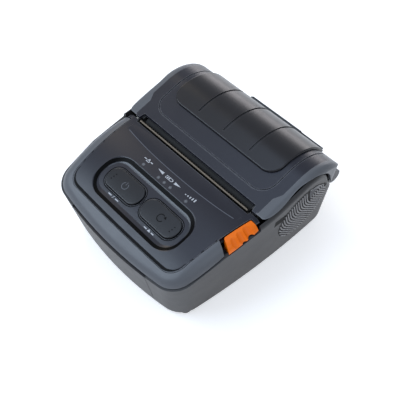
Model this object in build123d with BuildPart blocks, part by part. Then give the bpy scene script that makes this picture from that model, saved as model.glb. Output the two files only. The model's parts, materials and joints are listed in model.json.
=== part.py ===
from build123d import *
import math
import os

# Portable thermal receipt printer for 80 mm paper, in millimetres.
# +Z is up, -Y is the front with the control panel, +X is the side with the cover release.
# The origin is under the middle of the body, on the surface that it stands on.

os.makedirs("parts", exist_ok=True)

# Driving dimensions of the case
body_width = 107.5
body_depth = 126.0
body_height = 58.5
wall = 1.8
floor_thickness = 1.8
seam_gap = 0.5
foot_height = 1.2
foot_sink = 0.5

# Paper path
paper_width = 80.0
roll_diameter = 50.0
roll_clearance = 0.6
platen_radius = 5.0
platen_y = 1.4
platen_z = 42.0
paper_gap = 0.3

# Rear hinge of the cover
barrel_radius = 4.3
pin_radius = 1.5
hinge_z = 26.0
knuckle_gap = 0.4
base_knuckle_start = 21.0
base_knuckle_end = 33.2
lid_knuckle_end = 45.0

# Fits
pin_fit = 0.04
side_gap = 0.3
slide_gap = 0.35

# Plan of the body
front_y = -body_depth / 2
hinge_y = body_depth / 2 - barrel_radius
body_half = body_width / 2
widest_y = 20.0
widest_z = 51.4
side_draft = 0.107
front_draft = 0.19
rear_draft = 0.03
front_seam_z = 32.4
front_bow = 5.0
front_taper = 4.2
rear_bow = 2.0
rear_taper = 1.6
rear_wall_y = hinge_y - 1.9
rear_wall_top = 21.5
front_corner = 13.0
foot_edge_radius = 4.2
rear_corner = 12.0
floor_z = foot_height - foot_sink + 0.3
hull_top_z = 60.0
reach = 70.0

# Side view: slanted seam in front, round cheek beside the roll
seam_slope = 0.28
seam_start_y = -60.3
notch_slope = 0.12
notch_start_y = -30.0
notch_end_y = -7.6
cheek_start = (-7.2, 47.5)
cheek_points = [(4.0, 49.0), (13.5, 52.0), (25.0, 54.8), (35.0, 53.0), (42.0, 45.4), (46.5, 36.0), (54.0, 24.0)]
cheek_centre = (25.0, 30.0)
cheek_round = 2.6

# Top of the panel: a cylinder about X
crown_radius = 100.0
crown_y = -12.7
crown_top_z = 47.6
shoulder_radius = 7.0
release_shoulder = 4.6

# Cover
roll_y = 29.5
roll_z = 30.0
hump_rise = 1.3
lid_wall = 1.5
lid_front_y = -0.9
lid_front_z = 49.5
band_front_y = -4.2
band_inner_x = 48.75
band_front_inner_x = 46.4
band_step_y = (6.5, 11.0)
lid_shoulder = 3.8
lid_side_gap = 0.9
lid_rear_angle = 3.5
hump_half = 38.6
hump_front_y = 14.2
hump_corner = 8.0
hump_rear_angle = 33.0
hump_groove_step = 18.9
hump_groove_width = 1.3
hump_groove_depth = 0.45
flange_line_y = 4.4
flange_line_half = 42.4

hump_radius = body_height - roll_z
lid_radius = hump_radius - hump_rise
bay_radius = roll_diameter / 2 + roll_clearance
bucket_wall = 1.2
bay_half = paper_width / 2 + 1.0

# Control panel
panel_half_rear = 45.8
panel_side_slope = 0.10
panel_front_y = -54.9
panel_front_bow = 0.7
panel_rear_y = -6.6
upper_rear_y = -5.0
panel_rear_thickness = 1.2
panel_corner = 8.0
panel_thickness = 2.9
panel_gap = 0.25
frame_skin = 3.4
ledge_width = 1.5
recess_y = -37.9
recess_length = 64.5
recess_width = 25.8
recess_corner = 11.0
recess_depth = 1.4
recess_bevel = 1.1
button_x = 13.9
button_length = 25.2
button_width = 11.9
button_corner = 5.2
button_travel = 0.6
button_below_crown = 0.3
button_skirt = 0.9
window_y = -23.6
window_radius = 0.7
window_hole_fit = 0.06
battery_window_step = 4.5
status_window_x = 16.3
scoop_y = -10.7
scoop_radius = 34.0
scoop_sweep = 2050.0
scoop_depth = 0.5

# Cutter and print head
cutter_y = -4.7
cutter_half = 41.0
cutter_top_z = 49.0
tooth_pitch = 1.6
tooth_depth = 0.9
strip_thickness = 0.5
head_face_y = platen_y - platen_radius - paper_gap
strip_head_thickness = 0.8
heat_sink_thickness = 3.0
head_top_z = 44.0
head_pivot_y = -6.2
head_pivot_z = 34.0
head_pin_radius = 1.0

# Mechanism frame
plate_inner_x = 43.0
plate_thickness = 1.6
frame_front_y = -12.0
frame_wall = 1.4

# Platen and its drive
shaft_radius = 2.0
core_radius = 2.5
bush_radius = 3.5
cradle_gap = 0.3
gear_module = 0.5
platen_teeth = 22
idler_teeth = 40
pinion_teeth = 12
gear_x = -47.2
gear_width = 2.2
axle_radius = 1.5
motor_radius = 7.0
motor_length = 18.0

# Battery pack
cell_radius = 9.1
cell_length = 50.0
cell_wall = 0.9
pack_half = 27.2
pack_rear_y = -15.6
pack_floor_gap = 0.5
bay_top_half = 29.2
bay_bottom_half = 27.6
bay_front_y = -52.0
rear_middle_top = 31.0

# Cover release
latch_travel = 2.0
latch_front_y = -28.2
latch_rear_y = -7.6
latch_front_gap = 2.4
latch_gap = 0.6
lever_x = 45.1
lever_thickness = 1.6
lever_y = -8.0
lever_z = 22.0
fork_y = -17.0
fork_z = 36.0


def seam_z(y):
    """Height of the seam between the frame and the lower housing."""
    slanted = front_seam_z + 0.8 + seam_slope * (min(y, notch_start_y) - seam_start_y)
    return slanted + notch_slope * max(y - notch_start_y, 0)


def crown_z(y, drop=0.0):
    """Height of the panel's crown at y, or of a surface that lies drop below it."""
    return crown_top_z - crown_radius + math.sqrt((crown_radius - drop) ** 2 - (y - crown_y) ** 2)


def hull_outline(z, inset):
    """Draw the body's plan at height z into the open sketch."""
    half = body_half + (z - widest_z) * side_draft - inset
    front = front_y + (front_seam_z - z) * front_draft + inset
    rear = rear_wall_y + (z - hinge_z) * rear_draft - inset
    front_corner_x = half - front_taper
    front_corner_y = front + front_bow
    rear_corner_x = half - rear_taper
    rear_corner_y = rear - rear_bow
    with BuildLine() as plan:
        ThreePointArc((-front_corner_x, front_corner_y), (0, front), (front_corner_x, front_corner_y))
        ThreePointArc((front_corner_x, front_corner_y), (half, widest_y), (rear_corner_x, rear_corner_y))
        ThreePointArc((rear_corner_x, rear_corner_y), (0, rear), (-rear_corner_x, rear_corner_y))
        ThreePointArc((-rear_corner_x, rear_corner_y), (-half, widest_y), (-front_corner_x, front_corner_y))
    make_face(plan.edges())
    fillet(vertices().group_by(Axis.Y)[0], front_corner - inset)
    fillet(vertices().group_by(Axis.Y)[-1], rear_corner - inset)


def side_x(y, z):
    """Half width of the body at y and z, on the shallow arc of its side."""
    to_front = front_y + (front_seam_z - z) * front_draft + front_bow - widest_y
    to_rear = rear_wall_y + (z - hinge_z) * rear_draft - rear_bow - widest_y
    bow = (front_taper / to_front - rear_taper / to_rear) / (to_rear - to_front)
    slope = -rear_taper / to_rear - bow * to_rear
    return body_half + (z - widest_z) * side_draft + bow * (y - widest_y) ** 2 + slope * (y - widest_y)


def body_block(inset, bottom, top, edge_radius):
    """The drafted body between two heights, drawn in by inset all round."""
    with BuildPart() as block:
        with BuildSketch(Plane.XY.offset(bottom)):
            hull_outline(bottom, inset)
        with BuildSketch(Plane.XY.offset(top)):
            hull_outline(top, inset)
        loft(ruled=True)
        if edge_radius > 0:
            fillet(block.faces().sort_by(Axis.Z)[0].edges(), edge_radius)
    return block.part


def cheek_line(offset):
    """Side-view points of the cheek, moved outward by offset from the cheek's centre."""
    moved = []
    for y, z in cheek_points:
        dy, dz = y - cheek_centre[0], z - cheek_centre[1]
        distance = math.hypot(dy, dz)
        moved.append((y + dy / distance * offset, z + dz / distance * offset))
    return moved


def below_seam(offset, rear_top):
    """Everything under the seam and the cheek's outline, raised by offset."""
    with BuildPart() as zone:
        with BuildSketch(Plane.YZ):
            with BuildLine():
                start = (cheek_start[0] - offset, cheek_start[1] + offset)
                outline = Spline(start, *cheek_line(offset), tangents=[(1, 0.02), (0.35, -1)])
                end = outline @ 1
                Polyline(end, (end.X, rear_top), (reach, rear_top), (reach, -1), (-reach, -1),
                         (-reach, seam_z(-reach) + offset), (notch_start_y, seam_z(notch_start_y) + offset),
                         (notch_end_y - offset, seam_z(notch_end_y) + offset), start)
            make_face()
        extrude(amount=reach, both=True)
    return zone.part


def below_crown(drop, rear_y):
    """Everything under the crown, or under a surface that lies drop below it."""
    with BuildPart() as zone:
        with BuildSketch(Plane.YZ):
            with BuildLine():
                front = (-reach, crown_z(-reach, drop))
                rear = (rear_y, crown_z(rear_y, drop))
                middle_y = (-reach + rear_y) / 2
                ThreePointArc(front, (middle_y, crown_z(middle_y, drop)), rear)
                Polyline(rear, (rear_y, -1), (-reach, -1), front)
            make_face()
        extrude(amount=reach, both=True)
    return zone.part


def lid_slope():
    """Angle of the cover's flat front part, which runs tangent into the arc over the roll."""
    dy, dz = roll_y - lid_front_y, roll_z - lid_front_z
    distance = math.hypot(dy, dz)
    return math.atan2(dz, dy) + math.asin(lid_radius / distance)


def below_lid(depth, front_y_limit, rear_angle, low_z):
    """Everything under the cover's outer face, or under a surface depth inside it."""
    slope = lid_slope()
    radius = lid_radius - depth
    touch = (roll_y - radius * math.sin(slope), roll_z + radius * math.cos(slope))
    front = (front_y_limit, touch[1] - (touch[0] - front_y_limit) * math.tan(slope))
    rear_direction = math.radians(rear_angle)
    rear = (roll_y + radius * math.cos(rear_direction), roll_z + radius * math.sin(rear_direction))
    half_way = (slope + math.pi / 2 + rear_direction) / 2
    middle = (roll_y + radius * math.cos(half_way), roll_z + radius * math.sin(half_way))
    with BuildPart() as zone:
        with BuildSketch(Plane.YZ):
            with BuildLine():
                Line(front, touch)
                ThreePointArc(touch, middle, rear)
                Polyline(rear, (rear[0], low_z), (front_y_limit, low_z), front)
            make_face()
        extrude(amount=reach, both=True)
    return zone.part


def lid_z(y, depth):
    """Height of the cover's flat front part at y."""
    slope = lid_slope()
    radius = lid_radius - depth
    return roll_z + radius * math.cos(slope) - (roll_y - radius * math.sin(slope) - y) * math.tan(slope)


def panel_half(y):
    """Half width of the control panel at y."""
    return panel_half_rear + (y - panel_rear_y) * panel_side_slope


def panel_prism(grow):
    """Upright block with the panel's outline, larger by grow on each side."""
    front = panel_front_y - grow
    corner_y = front + panel_front_bow
    with BuildPart() as prism:
        with BuildSketch():
            with BuildLine():
                front_half = panel_half(corner_y) + grow
                rear_half = panel_half(panel_rear_y) + grow
                ThreePointArc((-front_half, corner_y), (0, front), (front_half, corner_y))
                Polyline((front_half, corner_y), (rear_half, panel_rear_y), (-rear_half, panel_rear_y),
                         (-front_half, corner_y))
            make_face()
            fillet(vertices().group_by(Axis.Y)[0], panel_corner + grow)
        extrude(amount=reach)
    return prism.part


# The panel's own plane, square to the crown under the buttons
crown_tilt = math.asin((recess_y - crown_y) / crown_radius)
panel_plane = Plane(
    origin=(0, recess_y, crown_z(recess_y)),
    x_dir=(1, 0, 0),
    z_dir=(0, math.sin(crown_tilt), math.cos(crown_tilt)),
)
hull = body_block(0.0, floor_z, hull_top_z, foot_edge_radius)
cavity = body_block(wall, floor_z + floor_thickness, hull_top_z + 1, 1.5)

# Lower housing: drafted tub with round cheeks beside the roll
port_y = (-36.0, -16.0)
port_z = (25.6, 36.0)
port_cover_thickness = 1.2
screw_head_radius = 2.3
screw_head_height = 2.0
screw_radius = 1.25
front_screw = (40.5, -46.0)
rear_screw = (36.0, 49.5)
front_screw_spots = [(side * front_screw[0], front_screw[1]) for side in (-1, 1)]
rear_screw_spots = [(side * rear_screw[0], rear_screw[1]) for side in (-1, 1)]
screw_spots = front_screw_spots + rear_screw_spots
screw_boss_top = 6.0
foot_spots = [(side * 36.0, y) for y in (-33.0, 36.0) for side in (-1, 1)]
foot_length = 14.0
foot_width = 7.0
floor_top = floor_z + floor_thickness
board_bottom = 27.0
board_thickness = 1.2
standoff_spots = [(-40.0, -38.0), (-40.0, -21.0), (31.8, -38.0), (31.8, -21.0)]


def knuckle(radius, start, end):
    """A pair of round hinge knuckles from start to end, on both sides of the middle."""
    with BuildPart() as pair:
        for side in (-1, 1):
            with BuildSketch(Plane.YZ.offset(side * start)):
                with Locations((hinge_y, hinge_z)):
                    Circle(radius)
            extrude(amount=side * (end - start))
    return pair.part


with BuildPart() as bay_front:
    with BuildSketch(Plane.XZ.offset(-bay_front_y)):
        with BuildLine():
            Polyline((-bay_bottom_half, -1), (bay_bottom_half, -1), (bay_top_half, front_seam_z),
                     (bay_top_half, front_seam_z + 9), (-bay_top_half, front_seam_z + 9),
                     (-bay_top_half, front_seam_z), (-bay_bottom_half, -1))
        make_face()
    extrude(amount=20)

with BuildPart() as tub_block:
    add(hull)
    add(below_seam(0.0, rear_wall_top), mode=Mode.INTERSECT)
    cheek_rims = [edge for edge in tub_block.edges()
                  if abs(edge.center().X) > 45 and edge.center().Y > -5 and edge.center().Z > 30]
    fillet(cheek_rims, cheek_round)

with BuildPart() as rear_middle:
    with Locations((0, rear_wall_y - wall / 2, rear_middle_top / 2)):
        Box(2 * (base_knuckle_start - knuckle_gap), 20, rear_middle_top)
    add(hull, mode=Mode.INTERSECT)

with BuildPart() as port_zone:
    with Locations((-50, sum(port_y) / 2, sum(port_z) / 2)):
        Box(14, port_y[1] - port_y[0], port_z[1] - port_z[0])
    add(body_block(port_cover_thickness + 0.15, 10.0, hull_top_z, 0), mode=Mode.SUBTRACT)
    with Locations((-50, sum(port_y) / 2, sum(port_z) / 2)):
        Box(12, port_y[1] - port_y[0] - 3, port_z[1] - port_z[0] - 3)

with BuildPart() as latch_tray:
    with Locations((48, (latch_front_y + latch_rear_y) / 2 - 1.5, 38.1)):
        Box(6.6, 23.4, 1.2)
    with Locations((46, fork_y - latch_travel / 2, 38.1)):
        Box(3.6, 3.2 + latch_travel, 4, mode=Mode.SUBTRACT)
    add(body_block(1.0, 20.0, hull_top_z, 0), mode=Mode.INTERSECT)

with BuildPart() as lower_housing:
    add(tub_block.part)
    add(rear_middle.part)
    add(cavity, mode=Mode.SUBTRACT)
    with Locations([(side * (pack_half + 0.9), (bay_front_y + pack_rear_y) / 2, floor_top + 6) for side in (-1, 1)]):
        Box(1.2, pack_rear_y - bay_front_y, 13)
    with Locations((0, pack_rear_y + 1.6, floor_top + 8)):
        Box(2 * pack_half + 3, 1.2, 17)
    add(bay_front.part, mode=Mode.SUBTRACT)
    with Locations([(x, y, (floor_z + screw_boss_top) / 2) for x, y in screw_spots]):
        Cylinder(3.2, screw_boss_top - floor_z)
    with Locations([(x, y, (floor_z + board_bottom) / 2) for x, y in standoff_spots]):
        Cylinder(1.9, board_bottom - floor_z)
    with Locations([(x, y, floor_z) for x, y in screw_spots]):
        Cylinder(screw_head_radius + 0.3, 2 * (screw_head_height + 0.4), mode=Mode.SUBTRACT)
        Cylinder(screw_radius + 0.25, 20, mode=Mode.SUBTRACT)
    with BuildSketch(Plane.XY.offset(floor_z)):
        with Locations(foot_spots):
            RectangleRounded(foot_length + 0.4, foot_width + 0.4, 2.2)
    extrude(amount=foot_sink, mode=Mode.SUBTRACT)
    with Locations([(side * (base_knuckle_start + base_knuckle_end) / 2,
                     (rear_wall_y - wall + hinge_y) / 2, 19.0) for side in (-1, 1)]):
        Box(base_knuckle_end - base_knuckle_start, hinge_y - rear_wall_y + wall, 14.0)
    add(knuckle(barrel_radius, base_knuckle_start, base_knuckle_end))
    add(knuckle(pin_radius + pin_fit, base_knuckle_start - 1, base_knuckle_end + 1), mode=Mode.SUBTRACT)
    add(port_zone.part, mode=Mode.SUBTRACT)
    add(latch_tray.part)
lower_housing.part.label = "lower_housing"
export_step(lower_housing.part, "parts/lower_housing.step")

def upper_block(shoulder):
    """Block over the seam and under the crown, with its shoulders rounded."""
    with BuildPart() as block:
        add(hull)
        add(below_crown(0.0, upper_rear_y), mode=Mode.INTERSECT)
        crown_face = block.faces().sort_by(Axis.Z)[-1]
        fillet(crown_face.edges().filter_by(lambda edge: edge.center().Y < upper_rear_y - 0.5), shoulder)
    return block.part


def latch_outline(gap, front_gap, height):
    """Upright block between the panel's edge and the outer wall, for the cover release."""
    front = latch_front_y - front_gap
    inner_front = latch_front_y + 3.7 - front_gap
    with BuildPart() as block:
        with BuildSketch(Plane.XY.offset(30)):
            with BuildLine():
                Polyline((panel_half(inner_front) + 0.7 - gap, inner_front), (body_half + 4, front - 1.6),
                         (body_half + 4, latch_rear_y + gap),
                         (panel_half(latch_rear_y) + 0.7 - gap, latch_rear_y + gap),
                         (panel_half(inner_front) + 0.7 - gap, inner_front))
            make_face()
            if gap == 0:
                fillet(vertices().group_by(Axis.X)[0], 1.4)
                fillet(vertices().group_by(Axis.X)[0], 1.4)
        extrude(amount=height)
    return block.part


# Upper frame: the bumper round the panel, with the ledge that carries the panel and two screw posts
with BuildPart() as skin_inside:
    add(cavity)
    add(below_crown(frame_skin, panel_rear_y + 3), mode=Mode.INTERSECT)
    inner_crown = skin_inside.faces().sort_by(Axis.Z)[-1]
    inner_rims = inner_crown.edges().filter_by(lambda edge: edge.center().Y < panel_rear_y + 2.5)
    fillet(inner_rims, shoulder_radius - frame_skin)

with BuildPart() as ledge:
    add(panel_prism(ledge_width))
    add(panel_prism(-ledge_width), mode=Mode.SUBTRACT)
    add(below_crown(panel_thickness + 0.05, 0.0), mode=Mode.INTERSECT)
    add(below_crown(panel_thickness + 1.5, 0.0), mode=Mode.SUBTRACT)
    with Locations((0, frame_front_y - 0.4 + 50, 40)):
        Box(150, 100, 80, mode=Mode.SUBTRACT)

with BuildPart() as front_posts:
    post_top = crown_z(front_screw[1], panel_thickness + 1)
    with Locations([(x, y, (screw_boss_top + post_top) / 2) for x, y in front_screw_spots]):
        Cylinder(2.75, post_top - screw_boss_top)
    with Locations([(x, y, screw_boss_top + 3) for x, y in front_screw_spots]):
        Cylinder(screw_radius, 14, mode=Mode.SUBTRACT)
    add(cavity, mode=Mode.INTERSECT)

with BuildPart() as upper_frame:
    add(upper_block(shoulder_radius))
    add(below_seam(seam_gap, rear_wall_top), mode=Mode.SUBTRACT)
    add(skin_inside.part, mode=Mode.SUBTRACT)
    add(panel_prism(panel_gap), mode=Mode.SUBTRACT)
    with Locations((0, notch_end_y - seam_gap + 10, 50)):
        Box(150, 20, 40, mode=Mode.SUBTRACT)
    add(ledge.part)
    add(front_posts.part)
    add(latch_outline(latch_gap, latch_front_gap, 30), mode=Mode.SUBTRACT)
upper_frame.part.label = "upper_frame"
export_step(upper_frame.part, "parts/upper_frame.step")

# Control panel: crowned plate with the button recess, five light holes and the scoop before the slot
recess_floor = -recess_depth - (recess_width / 2 - 4.0) ** 2 / (2 * crown_radius)
recess_rim = -(recess_width / 2) ** 2 / (2 * crown_radius)
floor_length = recess_length - 6.4
floor_width = recess_width - 8.0
rise = (0.3 - recess_floor) / (recess_rim - recess_floor)
with BuildPart() as recess:
    with BuildSketch(panel_plane.offset(recess_floor)):
        RectangleRounded(floor_length, floor_width, 7.0)
    with BuildSketch(panel_plane.offset(0.3)):
        RectangleRounded(recess_length + 0.6, floor_width + rise * 8.0, 13.0)
    loft()
    add(below_crown(recess_depth, reach / 4), mode=Mode.SUBTRACT)

scoop_axis_z = crown_z(scoop_y) + scoop_radius - scoop_depth
scoop_axis = Axis((0, 0, scoop_axis_z + scoop_sweep), (0, 1, 0))
with BuildPart() as scoop:
    with BuildSketch(Plane.YZ):
        with Locations((scoop_y, scoop_axis_z)):
            Circle(scoop_radius)
    revolve(axis=scoop_axis, revolution_arc=2.3)
scoop_cut = scoop.part.rotate(scoop_axis, -1.15)

button_spots = [(-button_x, 0), (button_x, 0)]
window_spots = [(0, window_y), (-battery_window_step, window_y), (battery_window_step, window_y),
                (-status_window_x, window_y), (status_window_x, window_y)]


def tilted(x, y):
    """Place in the panel's plane that lies under the crown point at x, y."""
    return x, (y - recess_y) / math.cos(crown_tilt)


def crown_layer(top, bottom, shape, spots, *size):
    """Prisms square to the panel plane at the spots, from top to bottom, both measured below it."""
    with BuildPart() as layer:
        with BuildSketch(panel_plane.offset(-bottom)):
            with Locations(spots):
                shape(*size)
        extrude(amount=bottom - top)
    return layer.part


with BuildPart() as panel_under:
    add(below_crown(panel_rear_thickness, reach / 4))
    with Locations((0, frame_front_y - 0.9 + 25, 30)):
        Box(150, 50, 60, mode=Mode.INTERSECT)
    add(below_crown(panel_thickness, reach / 4))

with BuildPart() as panel_tabs:
    with Locations([(side * 46.2, (panel_rear_y + upper_rear_y) / 2 - 0.35, 46) for side in (-1, 1)]):
        Box(7.2, upper_rear_y - panel_rear_y + 0.7, 10)
    add(upper_block(shoulder_radius), mode=Mode.INTERSECT)

with BuildPart() as control_panel:
    add(upper_block(shoulder_radius))
    add(panel_prism(0.0), mode=Mode.INTERSECT)
    add(panel_tabs.part)
    add(panel_under.part, mode=Mode.SUBTRACT)
    add(crown_layer(2.0, 8.5, Circle, [(-31, -8), (31, -8), (-31, 12), (31, 12)], 2.0))
    add(recess.part, mode=Mode.SUBTRACT)
    add(scoop_cut, mode=Mode.SUBTRACT)
    add(crown_layer(-1.0, 4.0, RectangleRounded, button_spots, button_length + 2 * slide_gap,
                    button_width + 2 * slide_gap, button_corner + slide_gap), mode=Mode.SUBTRACT)
    add(crown_layer(-1.0, 4.6, Circle, [tilted(x, y) for x, y in window_spots],
                    window_radius + window_hole_fit), mode=Mode.SUBTRACT)
    add(crown_layer(-1.0, 4.6, Rectangle, [(0, 0)], 0.5, 4.6), mode=Mode.SUBTRACT)
control_panel.part.label = "control_panel"
export_step(control_panel.part, "parts/control_panel.step")


def button(x):
    """Push button with its crowned top, a skirt under the panel and a stem for the switch."""
    with BuildPart() as cap:
        add(crown_layer(-1.0, 3.45, RectangleRounded, [(x, 0)], button_length, button_width, button_corner))
        add(below_crown(button_below_crown, reach / 4), mode=Mode.INTERSECT)
        top = cap.faces().sort_by(Axis.Z)[-1]
        fillet(top.edges(), 0.6)
        add(crown_layer(3.45, 4.1, RectangleRounded, [(x, 0)], button_length + 2 * button_skirt,
                        button_width + 2 * button_skirt, button_corner + button_skirt))
        add(crown_layer(4.1, 4.4, Circle, [(x, 0)], 2.5))
    return cap.part


power_button = button(-button_x)
power_button.label = "power_button"
export_step(power_button, "parts/power_button.step")
feed_button = button(button_x)
feed_button.label = "feed_button"
export_step(feed_button, "parts/feed_button.step")

# Light pipes, lamps, push switches and the board under the panel
with BuildPart() as indicator_windows:
    add(crown_layer(-1.0, 7.9, Circle, [tilted(x, y) for x, y in window_spots], window_radius))
    add(below_crown(0.0, reach / 4), mode=Mode.INTERSECT)
    add(crown_layer(4.3, 4.9, Circle, [tilted(x, y) for x, y in window_spots], 1.3))
indicator_windows.part.label = "indicator_windows"
export_step(indicator_windows.part, "parts/indicator_windows.step")

indicator_leds = crown_layer(8.0, 8.5, Rectangle, [tilted(x, y) for x, y in window_spots], 2.0, 1.2)
indicator_leds.label = "indicator_leds"
export_step(indicator_leds, "parts/indicator_leds.step")

with BuildPart() as tact_switches:
    add(crown_layer(5.9, 8.5, Rectangle, button_spots, 6.0, 6.0))
    add(crown_layer(5.1, 5.9, Circle, button_spots, 1.75))
tact_switches.part.label = "tact_switches"
export_step(tact_switches.part, "parts/tact_switches.step")

key_board = crown_layer(8.5, 9.7, Rectangle, [(0, 3.25)], 68.0, 28.5)
key_board.label = "key_board"
export_step(key_board, "parts/key_board.step")

# Main board with its two sockets behind the rubber port cover
with BuildPart() as main_board:
    with Locations((-5.5, -29.5, board_bottom + board_thickness / 2)):
        Box(79, 25, board_thickness)
    with Locations((8, -30, board_bottom + board_thickness + 0.6)):
        Box(14, 14, 1.2)
    with Locations((-16, -36, board_bottom + board_thickness + 0.5)):
        Box(8, 6, 1.0)
main_board.part.label = "main_board"
export_step(main_board.part, "parts/main_board.step")

with BuildPart() as usb_socket:
    with Locations((-44.4, -29.5, board_bottom + board_thickness + 1.6)):
        Box(6.8, 7.6, 3.2)
        with Locations((-1.2, 0, 0)):
            Box(6.0, 6.4, 2.0, mode=Mode.SUBTRACT)
        with Locations((0.4, 0, 0.3)):
            Box(6.0, 4.6, 0.7)
usb_socket.part.label = "usb_socket"
export_step(usb_socket.part, "parts/usb_socket.step")

with BuildPart() as dc_socket:
    with Locations((-42.9, -20.2, board_bottom + board_thickness + 2.9)):
        Box(9.8, 6.0, 5.8)
        with Locations((-2, 0, 0)):
            Cylinder(2.3, 8, rotation=(0, 90, 0), mode=Mode.SUBTRACT)
        with Locations((0.5, 0, 0)):
            Cylinder(0.65, 8, rotation=(0, 90, 0))
dc_socket.part.label = "dc_socket"
export_step(dc_socket.part, "parts/dc_socket.step")

port_bead = port_cover_thickness / 2
port_bead_z = port_z[0] + slide_gap + port_bead
port_top = port_z[1] - slide_gap
bead_ends = [Vector(port_bead - side_x(y, port_bead_z), y, port_bead_z)
             for y in (port_y[0] + slide_gap, port_y[1] - slide_gap)]
bead_line = bead_ends[1] - bead_ends[0]

with BuildPart() as port_cover:
    with Locations((-50, sum(port_y) / 2, (port_bead_z + port_top) / 2)):
        Box(14, port_y[1] - port_y[0] - 2 * slide_gap, port_top - port_bead_z)
    add(hull, mode=Mode.INTERSECT)
    add(body_block(port_cover_thickness, 10.0, hull_top_z, 0), mode=Mode.SUBTRACT)
    with BuildSketch(Plane(origin=bead_ends[0], z_dir=bead_line)):
        Circle(port_bead)
    extrude(amount=bead_line.length)
port_cover.part.label = "port_cover"
export_step(port_cover.part, "parts/port_cover.step")

# Cover release at the right shoulder with three finger scoops and a leg that moves the lever
with BuildPart() as release_latch:
    add(upper_block(release_shoulder))
    add(latch_outline(0.0, 0.0, 30), mode=Mode.INTERSECT)
    add(below_seam(0.8, rear_wall_top), mode=Mode.SUBTRACT)
    for y in (-22.3, -17.9, -13.5):
        with Locations((50.6, y, 47.9)):
            Cylinder(2.6, 9, rotation=(0, 128, 0), mode=Mode.SUBTRACT)
    with Locations((46.9, -16.9, (39.0 + 45.4) / 2)):
        Box(2.6, 15.8, 45.4 - 39.0)
    with Locations((46.0, fork_y, (34.8 + 39.2) / 2)):
        Box(1.2, 1.6, 4.4)
release_latch.part.label = "release_latch"
export_step(release_latch.part, "parts/release_latch.step")

# Lever that the release turns; its nose stands before the catch of the cover
with BuildPart() as lock_lever:
    with BuildSketch(Plane.YZ.offset(lever_x)):
        with BuildLine():
            Polyline((-10.2, 22.0), (-19.4, 32.6), (-19.4, 37.3), (-14.6, 37.3), (-14.6, 33.6), (-7.4, 25.4),
                     (-4.5, 26.6), (-4.5, 45.2), (-1.2, 45.2), (-0.5, 44.5), (-0.5, 43.4), (-1.5, 42.6),
                     (-1.5, 24.4), (-6.4, 19.8), (-10.2, 22.0))
        make_face()
        with Locations((lever_y, lever_z)):
            Circle(2.8)
            Circle(axle_radius + pin_fit, mode=Mode.SUBTRACT)
        with Locations((fork_y, 36.0)):
            Rectangle(2.4, 3.4, mode=Mode.SUBTRACT)
    extrude(amount=lever_thickness)
lock_lever.part.label = "lock_lever"
export_step(lock_lever.part, "parts/lock_lever.step")

with BuildPart() as lever_pin:
    with BuildSketch(Plane.YZ.offset(plate_inner_x + 0.2)):
        with Locations((lever_y, lever_z)):
            Circle(axle_radius)
    extrude(amount=lever_x + lever_thickness + 0.3 - plate_inner_x - 0.2)
    with BuildSketch(Plane.YZ.offset(lever_x + lever_thickness + 0.3)):
        with Locations((lever_y, lever_z)):
            Circle(2.4)
    extrude(amount=0.7)
lever_pin.part.label = "lever_pin"
export_step(lever_pin.part, "parts/lever_pin.step")

# Mechanism frame: front wall, crossbar and two side plates with the cradles of the platen
crossbar_top = 46.0
crossbar_bottom = 44.8
cradle_radius = bush_radius + cradle_gap
idler_distance = gear_module * (platen_teeth + idler_teeth) / 2
pinion_distance = gear_module * (idler_teeth + pinion_teeth) / 2
idler_angle = math.radians(254.4)
pinion_angle = math.radians(-81.9)
idler_y = platen_y + idler_distance * math.cos(idler_angle)
idler_z = platen_z + idler_distance * math.sin(idler_angle)
motor_y = idler_y + pinion_distance * math.cos(pinion_angle)
motor_z = idler_z + pinion_distance * math.sin(pinion_angle)

with BuildPart() as mechanism_frame:
    for side in (-1, 1):
        with BuildSketch(Plane.YZ.offset(side * plate_inner_x)):
            with BuildLine():
                Polyline((frame_front_y, 4.7), (10, 4.7), (10, platen_z - 1.0), (platen_y - cradle_radius, platen_z - 1.0),
                         (platen_y - cradle_radius, crossbar_top), (frame_front_y, crossbar_top), (frame_front_y, 4.7))
            make_face()
            with Locations((platen_y, platen_z)):
                Circle(cradle_radius, mode=Mode.SUBTRACT)
            with Locations((head_pivot_y, head_pivot_z)):
                Circle(head_pin_radius + pin_fit, mode=Mode.SUBTRACT)
            if side < 0:
                with Locations((motor_y, motor_z)):
                    Circle(1.6, mode=Mode.SUBTRACT)
                with Locations((idler_y, idler_z)):
                    Circle(axle_radius, mode=Mode.SUBTRACT)
            else:
                with Locations((lever_y, lever_z)):
                    Circle(axle_radius, mode=Mode.SUBTRACT)
        extrude(amount=side * plate_thickness)
    outer_x = plate_inner_x + plate_thickness
    with Locations((0, frame_front_y + frame_wall / 2, (floor_top + crossbar_top) / 2)):
        Box(84, frame_wall, crossbar_top - floor_top)
    with Locations((0, frame_front_y + frame_wall / 2, (4.7 + crossbar_top) / 2)):
        Box(2 * outer_x, frame_wall, crossbar_top - 4.7)
    with Locations((0, (frame_front_y + cutter_y - 0.2) / 2, (crossbar_bottom + crossbar_top) / 2)):
        Box(2 * outer_x, cutter_y - 0.2 - frame_front_y, crossbar_top - crossbar_bottom)
    with Locations([(x, frame_front_y, 22) for x in (-24, 0, 24)]):
        Box(14, 6, 18, mode=Mode.SUBTRACT)
mechanism_frame.part.label = "mechanism_frame"
export_step(mechanism_frame.part, "parts/mechanism_frame.step")

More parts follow.
